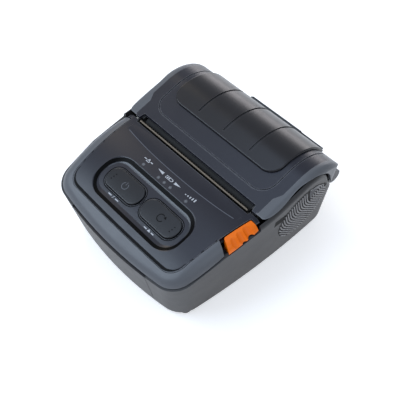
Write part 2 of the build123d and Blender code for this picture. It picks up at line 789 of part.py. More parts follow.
# Serrated tear bar, leaning back from the panel to the slot
blade_base = (-6.35, crossbar_top)
blade_angle = math.atan2(cutter_top_z - blade_base[1], cutter_y - blade_base[0])
blade_height = math.hypot(cutter_top_z - blade_base[1], cutter_y - blade_base[0])
blade_plane = Plane(origin=(0, blade_base[0], blade_base[1]), x_dir=(1, 0, 0),
                    z_dir=(0, -math.sin(blade_angle), math.cos(blade_angle)))
tooth_count = round(2 * cutter_half / tooth_pitch)
with BuildPart() as tear_bar:
    with BuildSketch(blade_plane):
        with BuildLine():
            teeth = []
            for index in range(tooth_count):
                left = -cutter_half + index * 2 * cutter_half / tooth_count
                teeth.append((left, blade_height - tooth_depth))
                teeth.append((left + cutter_half / tooth_count, blade_height))
            Polyline((-cutter_half, 0), *teeth, (cutter_half, blade_height - tooth_depth), (cutter_half, 0),
                     (-cutter_half, 0))
        make_face()
    extrude(amount=-strip_thickness)
    with Locations((0, blade_base[0] + 0.6, crossbar_top + 0.2)):
        Box(2 * cutter_half, 1.2, 0.4)
    with Locations((0, blade_base[0], crossbar_top - 1)):
        Box(2 * cutter_half + 2, 6, 2, mode=Mode.SUBTRACT)
tear_bar.part.label = "tear_bar"
export_step(tear_bar.part, "parts/tear_bar.step")

# Print head: heating strip on its heat sink, rocking on a pin against leaf springs
with BuildPart() as head_heat_sink:
    sink_front = head_face_y - strip_head_thickness - heat_sink_thickness
    with Locations((0, sink_front + heat_sink_thickness / 2, (32.0 + head_top_z) / 2)):
        Box(2 * plate_inner_x - 2.0, heat_sink_thickness, head_top_z - 32.0)
    with Locations([(x, sink_front, 36.5) for x in (-32, -16, 0, 16, 32)]):
        Box(9, 2.4, 10, mode=Mode.SUBTRACT)
    with Locations((0, head_pivot_y, head_pivot_z)):
        Cylinder(head_pin_radius + pin_fit, 100, rotation=(0, 90, 0), mode=Mode.SUBTRACT)
head_heat_sink.part.label = "head_heat_sink"
export_step(head_heat_sink.part, "parts/head_heat_sink.step")

with BuildPart() as print_head:
    with Locations((0, head_face_y - strip_head_thickness / 2, (37.0 + head_top_z) / 2)):
        Box(2 * cutter_half, strip_head_thickness, head_top_z - 37.0)
print_head.part.label = "print_head"
export_step(print_head.part, "parts/print_head.step")

with BuildPart() as head_pivot_pin:
    with Locations((0, head_pivot_y, head_pivot_z)):
        Cylinder(head_pin_radius, 2 * (plate_inner_x + plate_thickness) - 0.2, rotation=(0, 90, 0))
head_pivot_pin.part.label = "head_pivot_pin"
export_step(head_pivot_pin.part, "parts/head_pivot_pin.step")

with BuildPart() as head_springs:
    with BuildSketch(Plane.YZ):
        with BuildLine():
            Polyline((frame_front_y + frame_wall, 39.0), (frame_front_y + frame_wall, 40.2), (sink_front - 0.3, 43.4),
                     (sink_front - 0.3, 42.6), (frame_front_y + frame_wall, 39.0))
        make_face()
    extrude(amount=27, both=True)
    with Locations((0, sink_front, 40)):
        Box(42, 20, 20, mode=Mode.SUBTRACT)
head_springs.part.label = "head_springs"
export_step(head_springs.part, "parts/head_springs.step")

# Paper bucket that holds the roll, and the paper sensor before it
bucket_half = bay_half + bucket_wall + 0.4
front_top = 36.0
rear_top = 20.5
with BuildPart() as paper_bucket:
    for start, amount in ((0, bucket_half), (0, -bucket_half)):
        with BuildSketch(Plane.YZ.offset(start)):
            with Locations((roll_y, roll_z)):
                Circle(bay_radius + bucket_wall)
        extrude(amount=amount)
    with Locations([(x, y, 9.0) for x, y in rear_screw_spots]):
        Cylinder(3.2, 6.0)
    with Locations([(x, roll_y, floor_top + 0.8) for x in (-20, 20)]):
        Box(3, 11, 1.6)
    with BuildSketch(Plane.YZ.offset(-bay_half)):
        with Locations((roll_y, roll_z)):
            Circle(bay_radius)
    extrude(amount=2 * bay_half, mode=Mode.SUBTRACT)
    with BuildSketch(Plane.YZ):
        with BuildLine():
            Polyline((-10, front_top), (4.6, front_top), (53.4, rear_top), (75, rear_top), (75, 70), (-10, 70),
                     (-10, front_top))
        make_face()
    extrude(amount=60, both=True, mode=Mode.SUBTRACT)
    with Locations([(x, y, 9.0) for x, y in rear_screw_spots]):
        Cylinder(screw_radius, 8, mode=Mode.SUBTRACT)
    add(cavity, mode=Mode.INTERSECT)
paper_bucket.part.label = "paper_bucket"
export_step(paper_bucket.part, "parts/paper_bucket.step")

with BuildPart() as paper_sensor:
    with Locations((0, 1.0, 32.5)):
        Box(6, 5, 5)
    with BuildSketch(Plane.YZ.offset(-10)):
        with Locations((roll_y, roll_z)):
            Circle(bay_radius + bucket_wall)
    extrude(amount=20, mode=Mode.SUBTRACT)
paper_sensor.part.label = "paper_sensor"
export_step(paper_sensor.part, "parts/paper_sensor.step")

# Platen: rubber roller on a steel shaft with two bushes
shaft_left = gear_x - 0.4
shaft_right = plate_inner_x + plate_thickness + 0.1
roller_half = paper_width / 2 + 0.3


def rod(radius, start, end, y, z):
    """Round bar along X from start to end."""
    with BuildPart() as bar:
        with BuildSketch(Plane.YZ.offset(start)):
            with Locations((y, z)):
                Circle(radius)
        extrude(amount=end - start)
    return bar.part


platen_roller = rod(platen_radius, -roller_half, roller_half, platen_y, platen_z) - rod(
    core_radius, -60, 60, platen_y, platen_z)
platen_roller.label = "platen_roller"
export_step(platen_roller, "parts/platen_roller.step")
platen_shaft = rod(core_radius, -roller_half, roller_half, platen_y, platen_z) + rod(
    shaft_radius, shaft_left, shaft_right, platen_y, platen_z)
platen_shaft.label = "platen_shaft"
export_step(platen_shaft, "parts/platen_shaft.step")
with BuildPart() as platen_bushes:
    for side in (-1, 1):
        add(rod(bush_radius, side * (bay_half + 0.2), side * (plate_inner_x + plate_thickness - 0.2), platen_y, platen_z))
        add(rod(bush_radius + 0.7, side * (roller_half + 0.4), side * (bay_half - 0.15), platen_y, platen_z))
        add(rod(bush_radius, side * (roller_half + 0.4), side * (bay_half + 0.3), platen_y, platen_z))
    add(rod(shaft_radius + pin_fit, -60, 60, platen_y, platen_z), mode=Mode.SUBTRACT)
platen_bushes.part.label = "platen_bushes"
export_step(platen_bushes.part, "parts/platen_bushes.step")


def gear(teeth, y, z, bore, tooth_direction):
    """Spur gear about X with a tooth that points in tooth_direction."""
    pitch_radius = gear_module * teeth / 2
    step = 2 * math.pi / teeth
    outline = []
    for index in range(teeth):
        middle = tooth_direction + index * step
        for radius, share in ((pitch_radius - 0.6, -0.29), (pitch_radius + 0.45, -0.11),
                              (pitch_radius + 0.45, 0.11), (pitch_radius - 0.6, 0.29)):
            angle = middle + share * step
            outline.append((y + radius * math.cos(angle), z + radius * math.sin(angle)))
    with BuildPart() as wheel:
        with BuildSketch(Plane.YZ.offset(gear_x)):
            with BuildLine():
                Polyline(*outline, outline[0])
            make_face()
            with Locations((y, z)):
                Circle(bore, mode=Mode.SUBTRACT)
        extrude(amount=gear_width)
    return wheel.part


idler_step = 2 * math.pi / idler_teeth
idler_tooth = idler_angle + math.pi + idler_step / 2
tooth_offset = (pinion_angle - idler_tooth) % idler_step
pinion_tooth = (pinion_angle + math.pi + tooth_offset * idler_teeth / pinion_teeth
                + math.pi / pinion_teeth)
platen_gear = gear(platen_teeth, platen_y, platen_z, shaft_radius, idler_angle)
platen_gear.label = "platen_gear"
export_step(platen_gear, "parts/platen_gear.step")
idler_gear = gear(idler_teeth, idler_y, idler_z, axle_radius + pin_fit, idler_tooth)
idler_gear.label = "idler_gear"
export_step(idler_gear, "parts/idler_gear.step")
motor_pinion = gear(pinion_teeth, motor_y, motor_z, 0.5, pinion_tooth) + rod(
    1.0, gear_x, -plate_inner_x + 1.0, motor_y, motor_z)
motor_pinion.label = "motor_pinion"
export_step(motor_pinion, "parts/motor_pinion.step")
idler_axle = rod(axle_radius, -plate_inner_x - 0.2, gear_x - 0.3, idler_y, idler_z) + rod(
    2.3, gear_x - 0.3, gear_x - 0.9, idler_y, idler_z)
idler_axle.label = "idler_axle"
export_step(idler_axle, "parts/idler_axle.step")
feed_motor = rod(motor_radius, -plate_inner_x, -plate_inner_x + motor_length, motor_y, motor_z) - rod(
    1.0 + pin_fit, -plate_inner_x - 1, -plate_inner_x + 1.3, motor_y, motor_z)
feed_motor.label = "feed_motor"
export_step(feed_motor, "parts/feed_motor.step")

# Cover: black shell, grey side bands and the raised insert with three cross grooves
with BuildPart() as lid_inside:
    add(below_lid(lid_wall, band_front_y + lid_wall, 0.0, 10.0))
    add(cavity, mode=Mode.INTERSECT)

slope = lid_slope()
upright_plane = Plane(origin=(0, roll_y, roll_z), x_dir=(1, 0, 0), z_dir=(0, -1, 0))
flat_plane = Plane(origin=(0, roll_y, roll_z), x_dir=(1, 0, 0), z_dir=(0, -math.cos(slope), -math.sin(slope)))
with BuildPart() as lid_block:
    for plane in (upright_plane, flat_plane):
        with BuildSketch(plane):
            with Locations((0, lid_radius / 2)):
                Rectangle(body_width - 0.2, lid_radius)
            fillet(vertices().group_by(Axis.Y)[-1], lid_shoulder)
        if plane is flat_plane:
            extrude(amount=reach)
        else:
            revolve(axis=Axis((0, roll_y, roll_z), (1, 0, 0)), revolution_arc=360)
    add(hull, mode=Mode.INTERSECT)
    with Locations((0, band_front_y - 50, 50)):
        Box(200, 100, 120, mode=Mode.SUBTRACT)
    with Locations((0, 0, 0)):
        Box(200, 200, 40, mode=Mode.SUBTRACT)

shell_side = [(bay_half + 1.3, lid_front_y), (bay_half + 2.3, band_front_y - 1),
              (band_front_inner_x, band_front_y - 1), (band_front_inner_x, band_step_y[0]),
              (band_inner_x, band_step_y[1]), (band_inner_x, reach)]
with BuildPart() as shell_plan:
    with BuildSketch(Plane.XY.offset(45)):
        with BuildLine():
            Polyline(*shell_side, *[(-x, y) for x, y in reversed(shell_side)], shell_side[0])
        make_face()
    extrude(amount=32, both=True)

with BuildPart() as outer_groove:
    with BuildSketch(Plane.XY.offset(20)):
        with Locations((0, flange_line_y + 40)):
            RectangleRounded(2 * flange_line_half, 80, 9.0)
            RectangleRounded(2 * flange_line_half - 1.4, 80 - 1.4, 8.3, mode=Mode.SUBTRACT)
    extrude(amount=50)
    add(below_lid(0.45, -20.0, 0.0, 0.0), mode=Mode.SUBTRACT)
    with Locations((0, 35, 15)):
        Box(150, 200, 50, mode=Mode.SUBTRACT)

with BuildPart() as cheek_zone:
    add(below_seam(lid_side_gap, rear_wall_top))
    with Locations((0, 0, 40)):
        Box(2 * (band_inner_x - 3.2), 200, 200, mode=Mode.SUBTRACT)

with BuildPart() as lid_shell:
    add(lid_block.part)
    add(shell_plan.part, mode=Mode.INTERSECT)
    add(lid_inside.part, mode=Mode.SUBTRACT)
    add(cheek_zone.part, mode=Mode.SUBTRACT)
    with Locations((0, 30, 20)):
        Box(150, 100, 2 * 11.6, mode=Mode.SUBTRACT)
    with Locations((0, 0, 37.1)):
        Box(150, 20, 20, mode=Mode.SUBTRACT)
    add(outer_groove.part, mode=Mode.SUBTRACT)
    for side in (-1, 1):
        with BuildSketch(Plane.YZ.offset(side * (base_knuckle_end + knuckle_gap))):
            with Locations((hinge_y, hinge_z)):
                Circle(barrel_radius)
            with BuildLine():
                Polyline((hinge_y - 3.5, hinge_z), (hinge_y - 3.5, hinge_z + 7.0), (hinge_y - 2.2, hinge_z + 8.5),
                         (hinge_y, hinge_z + 4.0), (hinge_y, hinge_z), (hinge_y - 3.5, hinge_z))
            make_face()
        extrude(amount=side * (lid_knuckle_end - base_knuckle_end - knuckle_gap))
    add(knuckle(pin_radius + pin_fit, base_knuckle_end - 1, lid_knuckle_end - 0.8), mode=Mode.SUBTRACT)
lid_shell.part.label = "lid_shell"
export_step(lid_shell.part, "parts/lid_shell.step")

with BuildPart() as lid_bands:
    add(lid_block.part)
    add(lid_inside.part, mode=Mode.SUBTRACT)
    add(shell_plan.part, mode=Mode.SUBTRACT)
    add(below_seam(lid_side_gap, rear_wall_top), mode=Mode.SUBTRACT)
    with Locations((0, 30, 14)):
        Box(150, 100, 26, mode=Mode.SUBTRACT)
    with Locations((0, -4, 40)):
        Box(2 * band_front_inner_x, 8, 60, mode=Mode.SUBTRACT)
for side, word in ((-1, "left"), (1, "right")):
    with BuildPart() as band:
        add(lid_bands.part)
        with Locations((side * 40, 30, 40)):
            Box(80, 200, 200, mode=Mode.INTERSECT)
    band.part.label = "lid_band_" + word
    export_step(band.part, "parts/lid_band_" + word + ".step")

with BuildPart() as hump_block:
    add(below_lid(-hump_rise, 0.0, hump_rear_angle, 30.0))
    add(below_lid(0.0, -5.0, -10.0, 0.0), mode=Mode.SUBTRACT)
    with BuildSketch():
        with Locations((0, hump_front_y + 40)):
            RectangleRounded(2 * hump_half, 80, hump_corner)
    extrude(amount=80, mode=Mode.INTERSECT)
    with Locations((0, 60, roll_z)):
        Box(150, 120, 2 * hump_radius * math.sin(math.radians(hump_rear_angle)), mode=Mode.SUBTRACT)

with BuildPart() as hump_grooves:
    with Locations([(x, hump_front_y + 43, 50) for x in (-hump_groove_step, 0, hump_groove_step)]):
        Box(hump_groove_width, 80, 40)
    add(below_lid(hump_groove_depth - hump_rise, -20.0, 0.0, 0.0), mode=Mode.SUBTRACT)

with BuildPart() as lid_hump:
    add(hump_block.part)
    rim = [edge for face in lid_hump.faces() if face.normal_at(face.center()).Z > 0.5 for edge in face.edges()]
    fillet([edge for edge in rim if sum(edge.is_same(other) for other in rim) == 1], 0.7)
    add(hump_grooves.part, mode=Mode.SUBTRACT)
lid_hump.part.label = "lid_hump"
export_step(lid_hump.part, "parts/lid_hump.step")

# Inner frame of the cover: arms for the platen's bushes and end rings beside the roll
arm_inner = bay_half + 0.2
arm_outer = plate_inner_x - side_gap
ring_inner = plate_inner_x + 0.4
crossbar_half = lever_x - 0.5
with BuildPart() as arms:
    for side in (-1, 1):
        with BuildSketch(Plane.YZ.offset(side * arm_inner)):
            with BuildLine():
                Polyline((-2.8, 38.6), (6.4, 38.6), (9.0, 44.0), (9.0, 60), (-0.4, 60), (-2.8, 47.0), (-2.8, 38.6))
            make_face()
            with Locations((platen_y, platen_z)):
                Circle(bush_radius + 0.05, mode=Mode.SUBTRACT)
        extrude(amount=side * (arm_outer - arm_inner))
    with Locations((0, 8.2, 50)):
        Box(2 * crossbar_half, 1.5, 8.6)

with BuildPart() as rings:
    for side in (-1, 1):
        with BuildSketch(Plane.YZ.offset(side * ring_inner)):
            with Locations((roll_y, roll_z)):
                Circle(lid_radius - lid_wall + 0.5)
                Circle(lid_radius - lid_wall - 3.2, mode=Mode.SUBTRACT)
        extrude(amount=side * plate_thickness)
    with Locations((0, 30, 16)):
        Box(150, 60, 40, mode=Mode.SUBTRACT)
    with Locations((0, -14, 40)):
        Box(150, 50, 40, mode=Mode.SUBTRACT)

with BuildPart() as lid_inner_frame:
    add(arms.part)
    add(rings.part)
    add(lid_inside.part, mode=Mode.INTERSECT)
lid_inner_frame.part.label = "lid_inner_frame"
export_step(lid_inner_frame.part, "parts/lid_inner_frame.step")

# Catch of the cover: a steel hook under the cover's skin that the lever's nose holds down
with BuildPart() as lid_catch:
    with BuildSketch(Plane.YZ.offset(lever_x + 0.1)):
        with BuildLine():
            Polyline((-0.2, 41.2), (8.9, 41.2), (8.9, 60), (2.6, 60), (2.6, 44.4), (-0.2, 44.4), (-0.2, 41.2))
        make_face()
    extrude(amount=lever_thickness)
    add(lid_inside.part, mode=Mode.INTERSECT)
lid_catch.part.label = "lid_catch"
export_step(lid_catch.part, "parts/lid_catch.step")

hinge_pins = knuckle(pin_radius, base_knuckle_start - 0.5, lid_knuckle_end - 1.0)
hinge_pins.label = "hinge_pins"
export_step(hinge_pins, "parts/hinge_pins.step")

# Battery pack: the visible cap in front, the case with two cells and its contacts
case_front_y = -53.9
with BuildPart() as cap_outline:
    with BuildSketch(Plane.XZ.offset(-bay_front_y + slide_gap)):
        with BuildLine():
            top_z = front_seam_z - 0.1
            low = bay_bottom_half - slide_gap
            high = bay_top_half - slide_gap
            Polyline((-low, -1), (low, -1), (high, top_z), (-high, top_z), (-low, -1))
        make_face()
    extrude(amount=20)

with BuildPart() as cap_rib:
    with Locations((0, case_front_y - 5.0, 14.0)):
        Box(40, 10.0, 18.0)
    add(body_block(0.9, floor_z + 0.9, hull_top_z, 0), mode=Mode.INTERSECT)

with BuildPart() as battery_cap:
    add(hull)
    add(cap_outline.part, mode=Mode.INTERSECT)
    add(cavity, mode=Mode.SUBTRACT)
    add(cap_rib.part)
battery_cap.part.label = "battery_cap"
export_step(battery_cap.part, "parts/battery_cap.step")

case_bottom = floor_top + pack_floor_gap
case_height = 2 * cell_radius + 2 * cell_wall + 0.6
cell_z = case_bottom + case_height / 2
cell_middle_y = (case_front_y + pack_rear_y) / 2
with BuildPart() as battery_case:
    with Locations((0, cell_middle_y, cell_z)):
        Box(2 * pack_half, pack_rear_y - case_front_y, case_height)
        fillet(battery_case.edges().filter_by(Axis.X), 1.6)
    with Locations((0, cell_middle_y, cell_z)):
        Box(2 * (pack_half - cell_wall), pack_rear_y - case_front_y - 2 * cell_wall, case_height - 2 * cell_wall,
            mode=Mode.SUBTRACT)
    with Locations([(x, pack_rear_y, 12) for x in (-8, 0, 8)]):
        Box(2.6, 4, 8.6, mode=Mode.SUBTRACT)
battery_case.part.label = "battery_case"
export_step(battery_case.part, "parts/battery_case.step")

cell_offset = (pack_rear_y - case_front_y - 2 * cell_wall) / 4
with BuildPart() as battery_cells:
    for side in (-1, 1):
        add(rod(cell_radius, -cell_length / 2, cell_length / 2, cell_middle_y + side * cell_offset, cell_z))
battery_cells.part.label = "battery_cells"
export_step(battery_cells.part, "parts/battery_cells.step")

with BuildPart() as battery_contacts:
    with Locations([(x, pack_rear_y + 0.35 + 0.325, 12) for x in (-8, 0, 8)]):
        Box(2, 0.65, 8)
battery_contacts.part.label = "battery_contacts"
export_step(battery_contacts.part, "parts/battery_contacts.step")

# Feet and screws
with BuildPart() as rubber_feet:
    with BuildSketch():
        with Locations(foot_spots):
            RectangleRounded(foot_length, foot_width, 2.0)
    extrude(amount=floor_z + foot_sink)
rubber_feet.part.label = "rubber_feet"
export_step(rubber_feet.part, "parts/rubber_feet.step")

head_top = floor_z + screw_head_height + 0.4
with BuildPart() as case_screws:
    with Locations([(x, y, head_top - screw_head_height / 2) for x, y in screw_spots]):
        Cylinder(screw_head_radius, screw_head_height)
    with Locations([(x, y, head_top + 4.0) for x, y in screw_spots]):
        Cylinder(screw_radius, 8.0)
    with Locations([(x, y, floor_z + 0.4) for x, y in screw_spots]):
        Box(3.0, 0.7, 1.4, mode=Mode.SUBTRACT)
        Box(0.7, 3.0, 1.4, mode=Mode.SUBTRACT)
case_screws.part.label = "case_screws"
export_step(case_screws.part, "parts/case_screws.step")
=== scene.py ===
# %% [markdown]
# # A portable receipt printer, dressed for its photograph
# The printer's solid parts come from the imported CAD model, at real size and in the right place.
# This script gives every part the finish of the real one, adds the thin details that are only skin
# deep, and sets up the table, the light and the camera. It starts by loading the frame.

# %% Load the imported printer
import json
import math

import bmesh
import bpy
from mathutils import Matrix, Vector
from mathutils.bvhtree import BVHTree


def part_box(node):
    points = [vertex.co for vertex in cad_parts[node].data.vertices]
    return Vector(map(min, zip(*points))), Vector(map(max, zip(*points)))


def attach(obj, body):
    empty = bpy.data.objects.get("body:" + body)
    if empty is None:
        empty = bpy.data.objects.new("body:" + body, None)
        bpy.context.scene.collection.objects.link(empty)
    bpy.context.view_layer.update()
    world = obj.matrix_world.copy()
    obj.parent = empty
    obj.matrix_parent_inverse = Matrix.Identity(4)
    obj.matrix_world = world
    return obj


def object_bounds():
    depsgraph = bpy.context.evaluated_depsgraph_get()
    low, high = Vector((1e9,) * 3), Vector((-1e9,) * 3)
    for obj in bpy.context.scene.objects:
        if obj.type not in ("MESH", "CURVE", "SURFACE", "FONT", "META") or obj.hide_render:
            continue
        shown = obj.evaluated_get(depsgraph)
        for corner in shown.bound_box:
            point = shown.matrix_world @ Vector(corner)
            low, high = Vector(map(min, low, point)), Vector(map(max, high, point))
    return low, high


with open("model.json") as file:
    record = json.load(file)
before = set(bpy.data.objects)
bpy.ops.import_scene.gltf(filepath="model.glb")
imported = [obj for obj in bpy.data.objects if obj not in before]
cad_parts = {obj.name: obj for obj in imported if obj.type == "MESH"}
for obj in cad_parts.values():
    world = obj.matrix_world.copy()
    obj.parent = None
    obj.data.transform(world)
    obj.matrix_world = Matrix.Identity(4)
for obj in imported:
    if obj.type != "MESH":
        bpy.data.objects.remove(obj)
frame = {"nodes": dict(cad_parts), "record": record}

cad_low, cad_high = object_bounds()
nodes = frame["nodes"]
MM = 0.001

# %% [markdown]
# ## Camera
# The photograph looks down on the front right corner from about half a metre. The lens and the
# place come from the tear bar, the seams and the outline, solved together, so the render can be
# laid over the photograph. The camera has no shift and no depth of field.

# %% Camera at the photograph's angle
camera_azimuth = math.radians(47.77)
camera_elevation = math.radians(51.73)
camera_place = Vector((178.2, -160.8, 317.2)) * MM
towards_camera = Vector((
    math.sin(camera_azimuth) * math.cos(camera_elevation),
    -math.cos(camera_azimuth) * math.cos(camera_elevation),
    math.sin(camera_elevation),
))
camera_data = bpy.data.cameras.new("photo_camera")
camera_data.sensor_width = 36.0
camera_data.lens = 63.0
camera_data.clip_start = 0.01
camera = bpy.data.objects.new("photo_camera", camera_data)
bpy.context.scene.collection.objects.link(camera)
camera.location = camera_place
camera.rotation_euler = (-towards_camera).to_track_quat("-Z", "Y").to_euler()
bpy.context.scene.camera = camera
print("camera at", [round(v, 3) for v in camera.location])

# %% [markdown]
# ## Table and light
# The printer was photographed on white, in soft daylight from behind and the left. A wide pale
# table, a bright room and six soft boxes give the same broad sheen on the rear of the paper cover
# and the same weak shadow to the right and the front.

# %% Table
floor_half = 4.0
floor_mesh = bmesh.new()
bmesh.ops.create_grid(floor_mesh, x_segments=1, y_segments=1, size=floor_half)
floor_data = bpy.data.meshes.new("table_top")
floor_mesh.to_mesh(floor_data)
floor_mesh.free()
table_top = bpy.data.objects.new("table_top", floor_data)
bpy.context.scene.collection.objects.link(table_top)

pale_table = bpy.data.materials.new("pale_table")
pale_table.use_nodes = True
pale_shader = pale_table.node_tree.nodes["Principled BSDF"]
pale_shader.inputs["Base Color"].default_value = (0.9, 0.9, 0.91, 1)
pale_shader.inputs["Emission Color"].default_value = (0.97, 0.975, 1.0, 1)
pale_shader.inputs["Emission Strength"].default_value = 0.5
pale_shader.inputs["Roughness"].default_value = 0.7
pale_shader.inputs["Specular IOR Level"].default_value = 0.1
floor_data.materials.append(pale_table)
print("table", 2 * floor_half, "m wide")

# %% Room light and soft boxes
room_strength = 0.5
room = bpy.data.worlds.new("bright_room")
room.use_nodes = True
room.node_tree.nodes["Background"].inputs["Color"].default_value = (0.9, 0.95, 1.0, 1)
room.node_tree.nodes["Background"].inputs["Strength"].default_value = room_strength
bpy.context.scene.world = room
bpy.context.scene.view_settings.view_transform = "Standard"
print("room light", room_strength)

light_target = Vector((0, 0, 0.03))


def soft_box(name, place, width, height, watts, colour):
    """A rectangular soft light at place, facing the printer."""
    light = bpy.data.lights.new(name, "AREA")
    light.shape = "RECTANGLE"
    light.size = width
    light.size_y = height
    light.energy = watts
    light.color = colour
    lamp = bpy.data.objects.new(name, light)
    bpy.context.scene.collection.objects.link(lamp)
    lamp.location = place
    aim = light_target - Vector(place)
    lamp.rotation_euler = aim.to_track_quat("-Z", "Y").to_euler()
    print(name, watts, "watts")


soft_box("rear_window", (-0.78, 1.15, 0.28), 1.2, 0.42, 4.6, (1.0, 0.95, 0.975))
soft_box("sky_light", (-0.48, -0.64, 0.92), 0.7, 0.5, 5.4, (0.7, 0.84, 1.0))
soft_box("warm_wall", (-1.05, 0.33, 0.92), 0.3, 0.3, 1.7, (1.0, 0.84, 0.62))
soft_box("left_sky", (-0.75, -0.48, 0.62), 0.3, 0.3, 0.8, (0.85, 0.93, 1.0))
soft_box("right_sky", (0.6, -0.05, 0.75), 0.4, 0.4, 0.9, (0.78, 0.88, 1.0))
soft_box("overhead", (-0.3, 0.0, 1.3), 0.6, 0.6, 1.7, (0.62, 0.76, 1.0))

# %% [markdown]
# ## Shared surface effects
# Moulded plastic is never one flat colour. Its skin has a fine spark-eroded grain, it is a touch
# lighter or darker from place to place, and its edges polish with use. Here the edges are also
# painted paler for the light that they catch, a painted highlight. These effects are node
# groups, built once and placed in each material with its own values.

# %% Node group helpers
def new_group(name, inputs, outputs):
    """An empty shader group with float or colour sockets, and its input and output nodes."""
    group = bpy.data.node_groups.new(name, "ShaderNodeTree")
    for label, kind, value in inputs:
        socket = group.interface.new_socket(label, in_out="INPUT", socket_type=kind)
        socket.default_value = value
    for label, kind in outputs:
        group.interface.new_socket(label, in_out="OUTPUT", socket_type=kind)
    entry = group.nodes.new("NodeGroupInput")
    leave = group.nodes.new("NodeGroupOutput")
    return group, entry, leave


def wire(tree, source, source_socket, target, target_socket):
    """Join one socket to another by name or number."""
    tree.links.new(source.outputs[source_socket], target.inputs[target_socket])


def math_node(tree, operation, first=None, second=None):
    """A math node; a number is set on its socket, a (node, socket) pair is joined to it."""
    node = tree.nodes.new("ShaderNodeMath")
    node.operation = operation
    for place, value in enumerate((first, second)):
        if isinstance(value, tuple):
            wire(tree, value[0], value[1], node, place)
        elif value is not None:
            node.inputs[place].default_value = value
    return node


def mix_colour(tree, factor, first, second, blend="MIX"):
    """A colour mix of two (node, socket) pairs or plain colours."""
    node = tree.nodes.new("ShaderNodeMix")
    node.data_type = "RGBA"
    node.blend_type = blend
    for place, value in ((0, factor), (6, first), (7, second)):
        if isinstance(value, tuple) and len(value) == 2:
            wire(tree, value[0], value[1], node, place)
        else:
            node.inputs[place].default_value = value
    return node


def object_noise(tree, scale, detail, stretch=(1, 1, 1)):
    """Noise on Object coordinates; scale is a number or a (node, socket) pair, in waves per metre."""
    place = tree.nodes.new("ShaderNodeTexCoord")
    turn = tree.nodes.new("ShaderNodeMapping")
    turn.inputs["Scale"].default_value = stretch
    noise = tree.nodes.new("ShaderNodeTexNoise")
    noise.inputs["Detail"].default_value = detail
    wire(tree, place, "Object", turn, "Vector")
    wire(tree, turn, "Vector", noise, "Vector")
    if isinstance(scale, tuple):
        wire(tree, scale[0], scale[1], noise, "Scale")
    else:
        noise.inputs["Scale"].default_value = scale
    return noise


# %% Grain and tone of a moulded skin
grain, grain_in, grain_out = new_group(
    "moulded_skin",
    [("Tint", "NodeSocketColor", (0.1, 0.1, 0.1, 1)), ("Tone Spread", "NodeSocketFloat", 0.12),
     ("Roughness", "NodeSocketFloat", 0.45), ("Roughness Spread", "NodeSocketFloat", 0.1),
     ("Grain Scale", "NodeSocketFloat", 2600.0)],
    [("Color", "NodeSocketColor"), ("Roughness", "NodeSocketFloat"), ("Height", "NodeSocketFloat")],
)
fine = object_noise(grain, (grain_in, "Grain Scale"), 2.0)
wide = object_noise(grain, 45.0, 3.0)
smudge = object_noise(grain, 120.0, 4.0, (1, 0.6, 1))
tone = math_node(grain, "SUBTRACT", (wide, "Fac"), 0.5)
tone = math_node(grain, "MULTIPLY", (tone, 0), (grain_in, "Tone Spread"))
tone = math_node(grain, "ADD", (tone, 0), 1.0)
grey = grain.nodes.new("ShaderNodeCombineColor")
for channel in range(3):
    wire(grain, tone, 0, grey, channel)
toned = mix_colour(grain, 1.0, (grain_in, "Tint"), (grey, "Color"), "MULTIPLY")
rub = math_node(grain, "SUBTRACT", (smudge, "Fac"), 0.5)
rub = math_node(grain, "MULTIPLY", (rub, 0), (grain_in, "Roughness Spread"))
rub = math_node(grain, "ADD", (rub, 0), (grain_in, "Roughness"))
wire(grain, toned, 2, grain_out, "Color")
wire(grain, rub, 0, grain_out, "Roughness")
wire(grain, fine, "Fac", grain_out, "Height")
print("moulded skin:", len(grain.nodes), "nodes")

# %% [markdown]
# Edges are painted paler in the colour: partly wear, as they are worn smooth, and partly a painted
# highlight for the light that their small rounding catches. The Bevel node compares the true normal
# with a rounded one, so the difference is a mask of the edges. It works on the CAD meshes too, whose
# triangles aren't joined.

# %% Worn edges and painted edge highlights
edge_wear_and_highlight, edge_wear_and_highlight_in, edge_wear_and_highlight_out = new_group(
    "worn_and_highlit_edges",
    [("Radius", "NodeSocketFloat", 0.0005), ("Strength", "NodeSocketFloat", 0.4)],
    [("Mask", "NodeSocketFloat")],
)
rounded = edge_wear_and_highlight.nodes.new("ShaderNodeBevel")
rounded.samples = 4
surface = edge_wear_and_highlight.nodes.new("ShaderNodeNewGeometry")
agree = edge_wear_and_highlight.nodes.new("ShaderNodeVectorMath")
agree.operation = "DOT_PRODUCT"
patchy = object_noise(edge_wear_and_highlight, 400.0, 3.0)
wire(edge_wear_and_highlight, edge_wear_and_highlight_in, "Radius", rounded, "Radius")
wire(edge_wear_and_highlight, rounded, "Normal", agree, 0)
wire(edge_wear_and_highlight, surface, "Normal", agree, 1)
edge_gain = 5.0
edge = math_node(edge_wear_and_highlight, "SUBTRACT", 1.0, (agree, "Value"))
edge = math_node(edge_wear_and_highlight, "MULTIPLY", (edge, 0), edge_gain)
edge = math_node(edge_wear_and_highlight, "MULTIPLY", (edge, 0), (patchy, "Fac"))
edge.use_clamp = True
edge = math_node(edge_wear_and_highlight, "MULTIPLY", (edge, 0), (edge_wear_and_highlight_in, "Strength"))
wire(edge_wear_and_highlight, edge, 0, edge_wear_and_highlight_out, "Mask")
print("node groups:", [group.name for group in bpy.data.node_groups])

# %% [markdown]
# ## Plastics
# Six plastics show. The lower housing is a warm dark grey, the frame and the bands of the cover
# are a cooler and lighter grey, and the panel and the cover are nearly black with a blue cast. The
# raised insert of the cover and the two keys are a deeper and glossier black, and the release is a
# clear orange. One function makes them all, because they differ only in colour, gloss and grain.

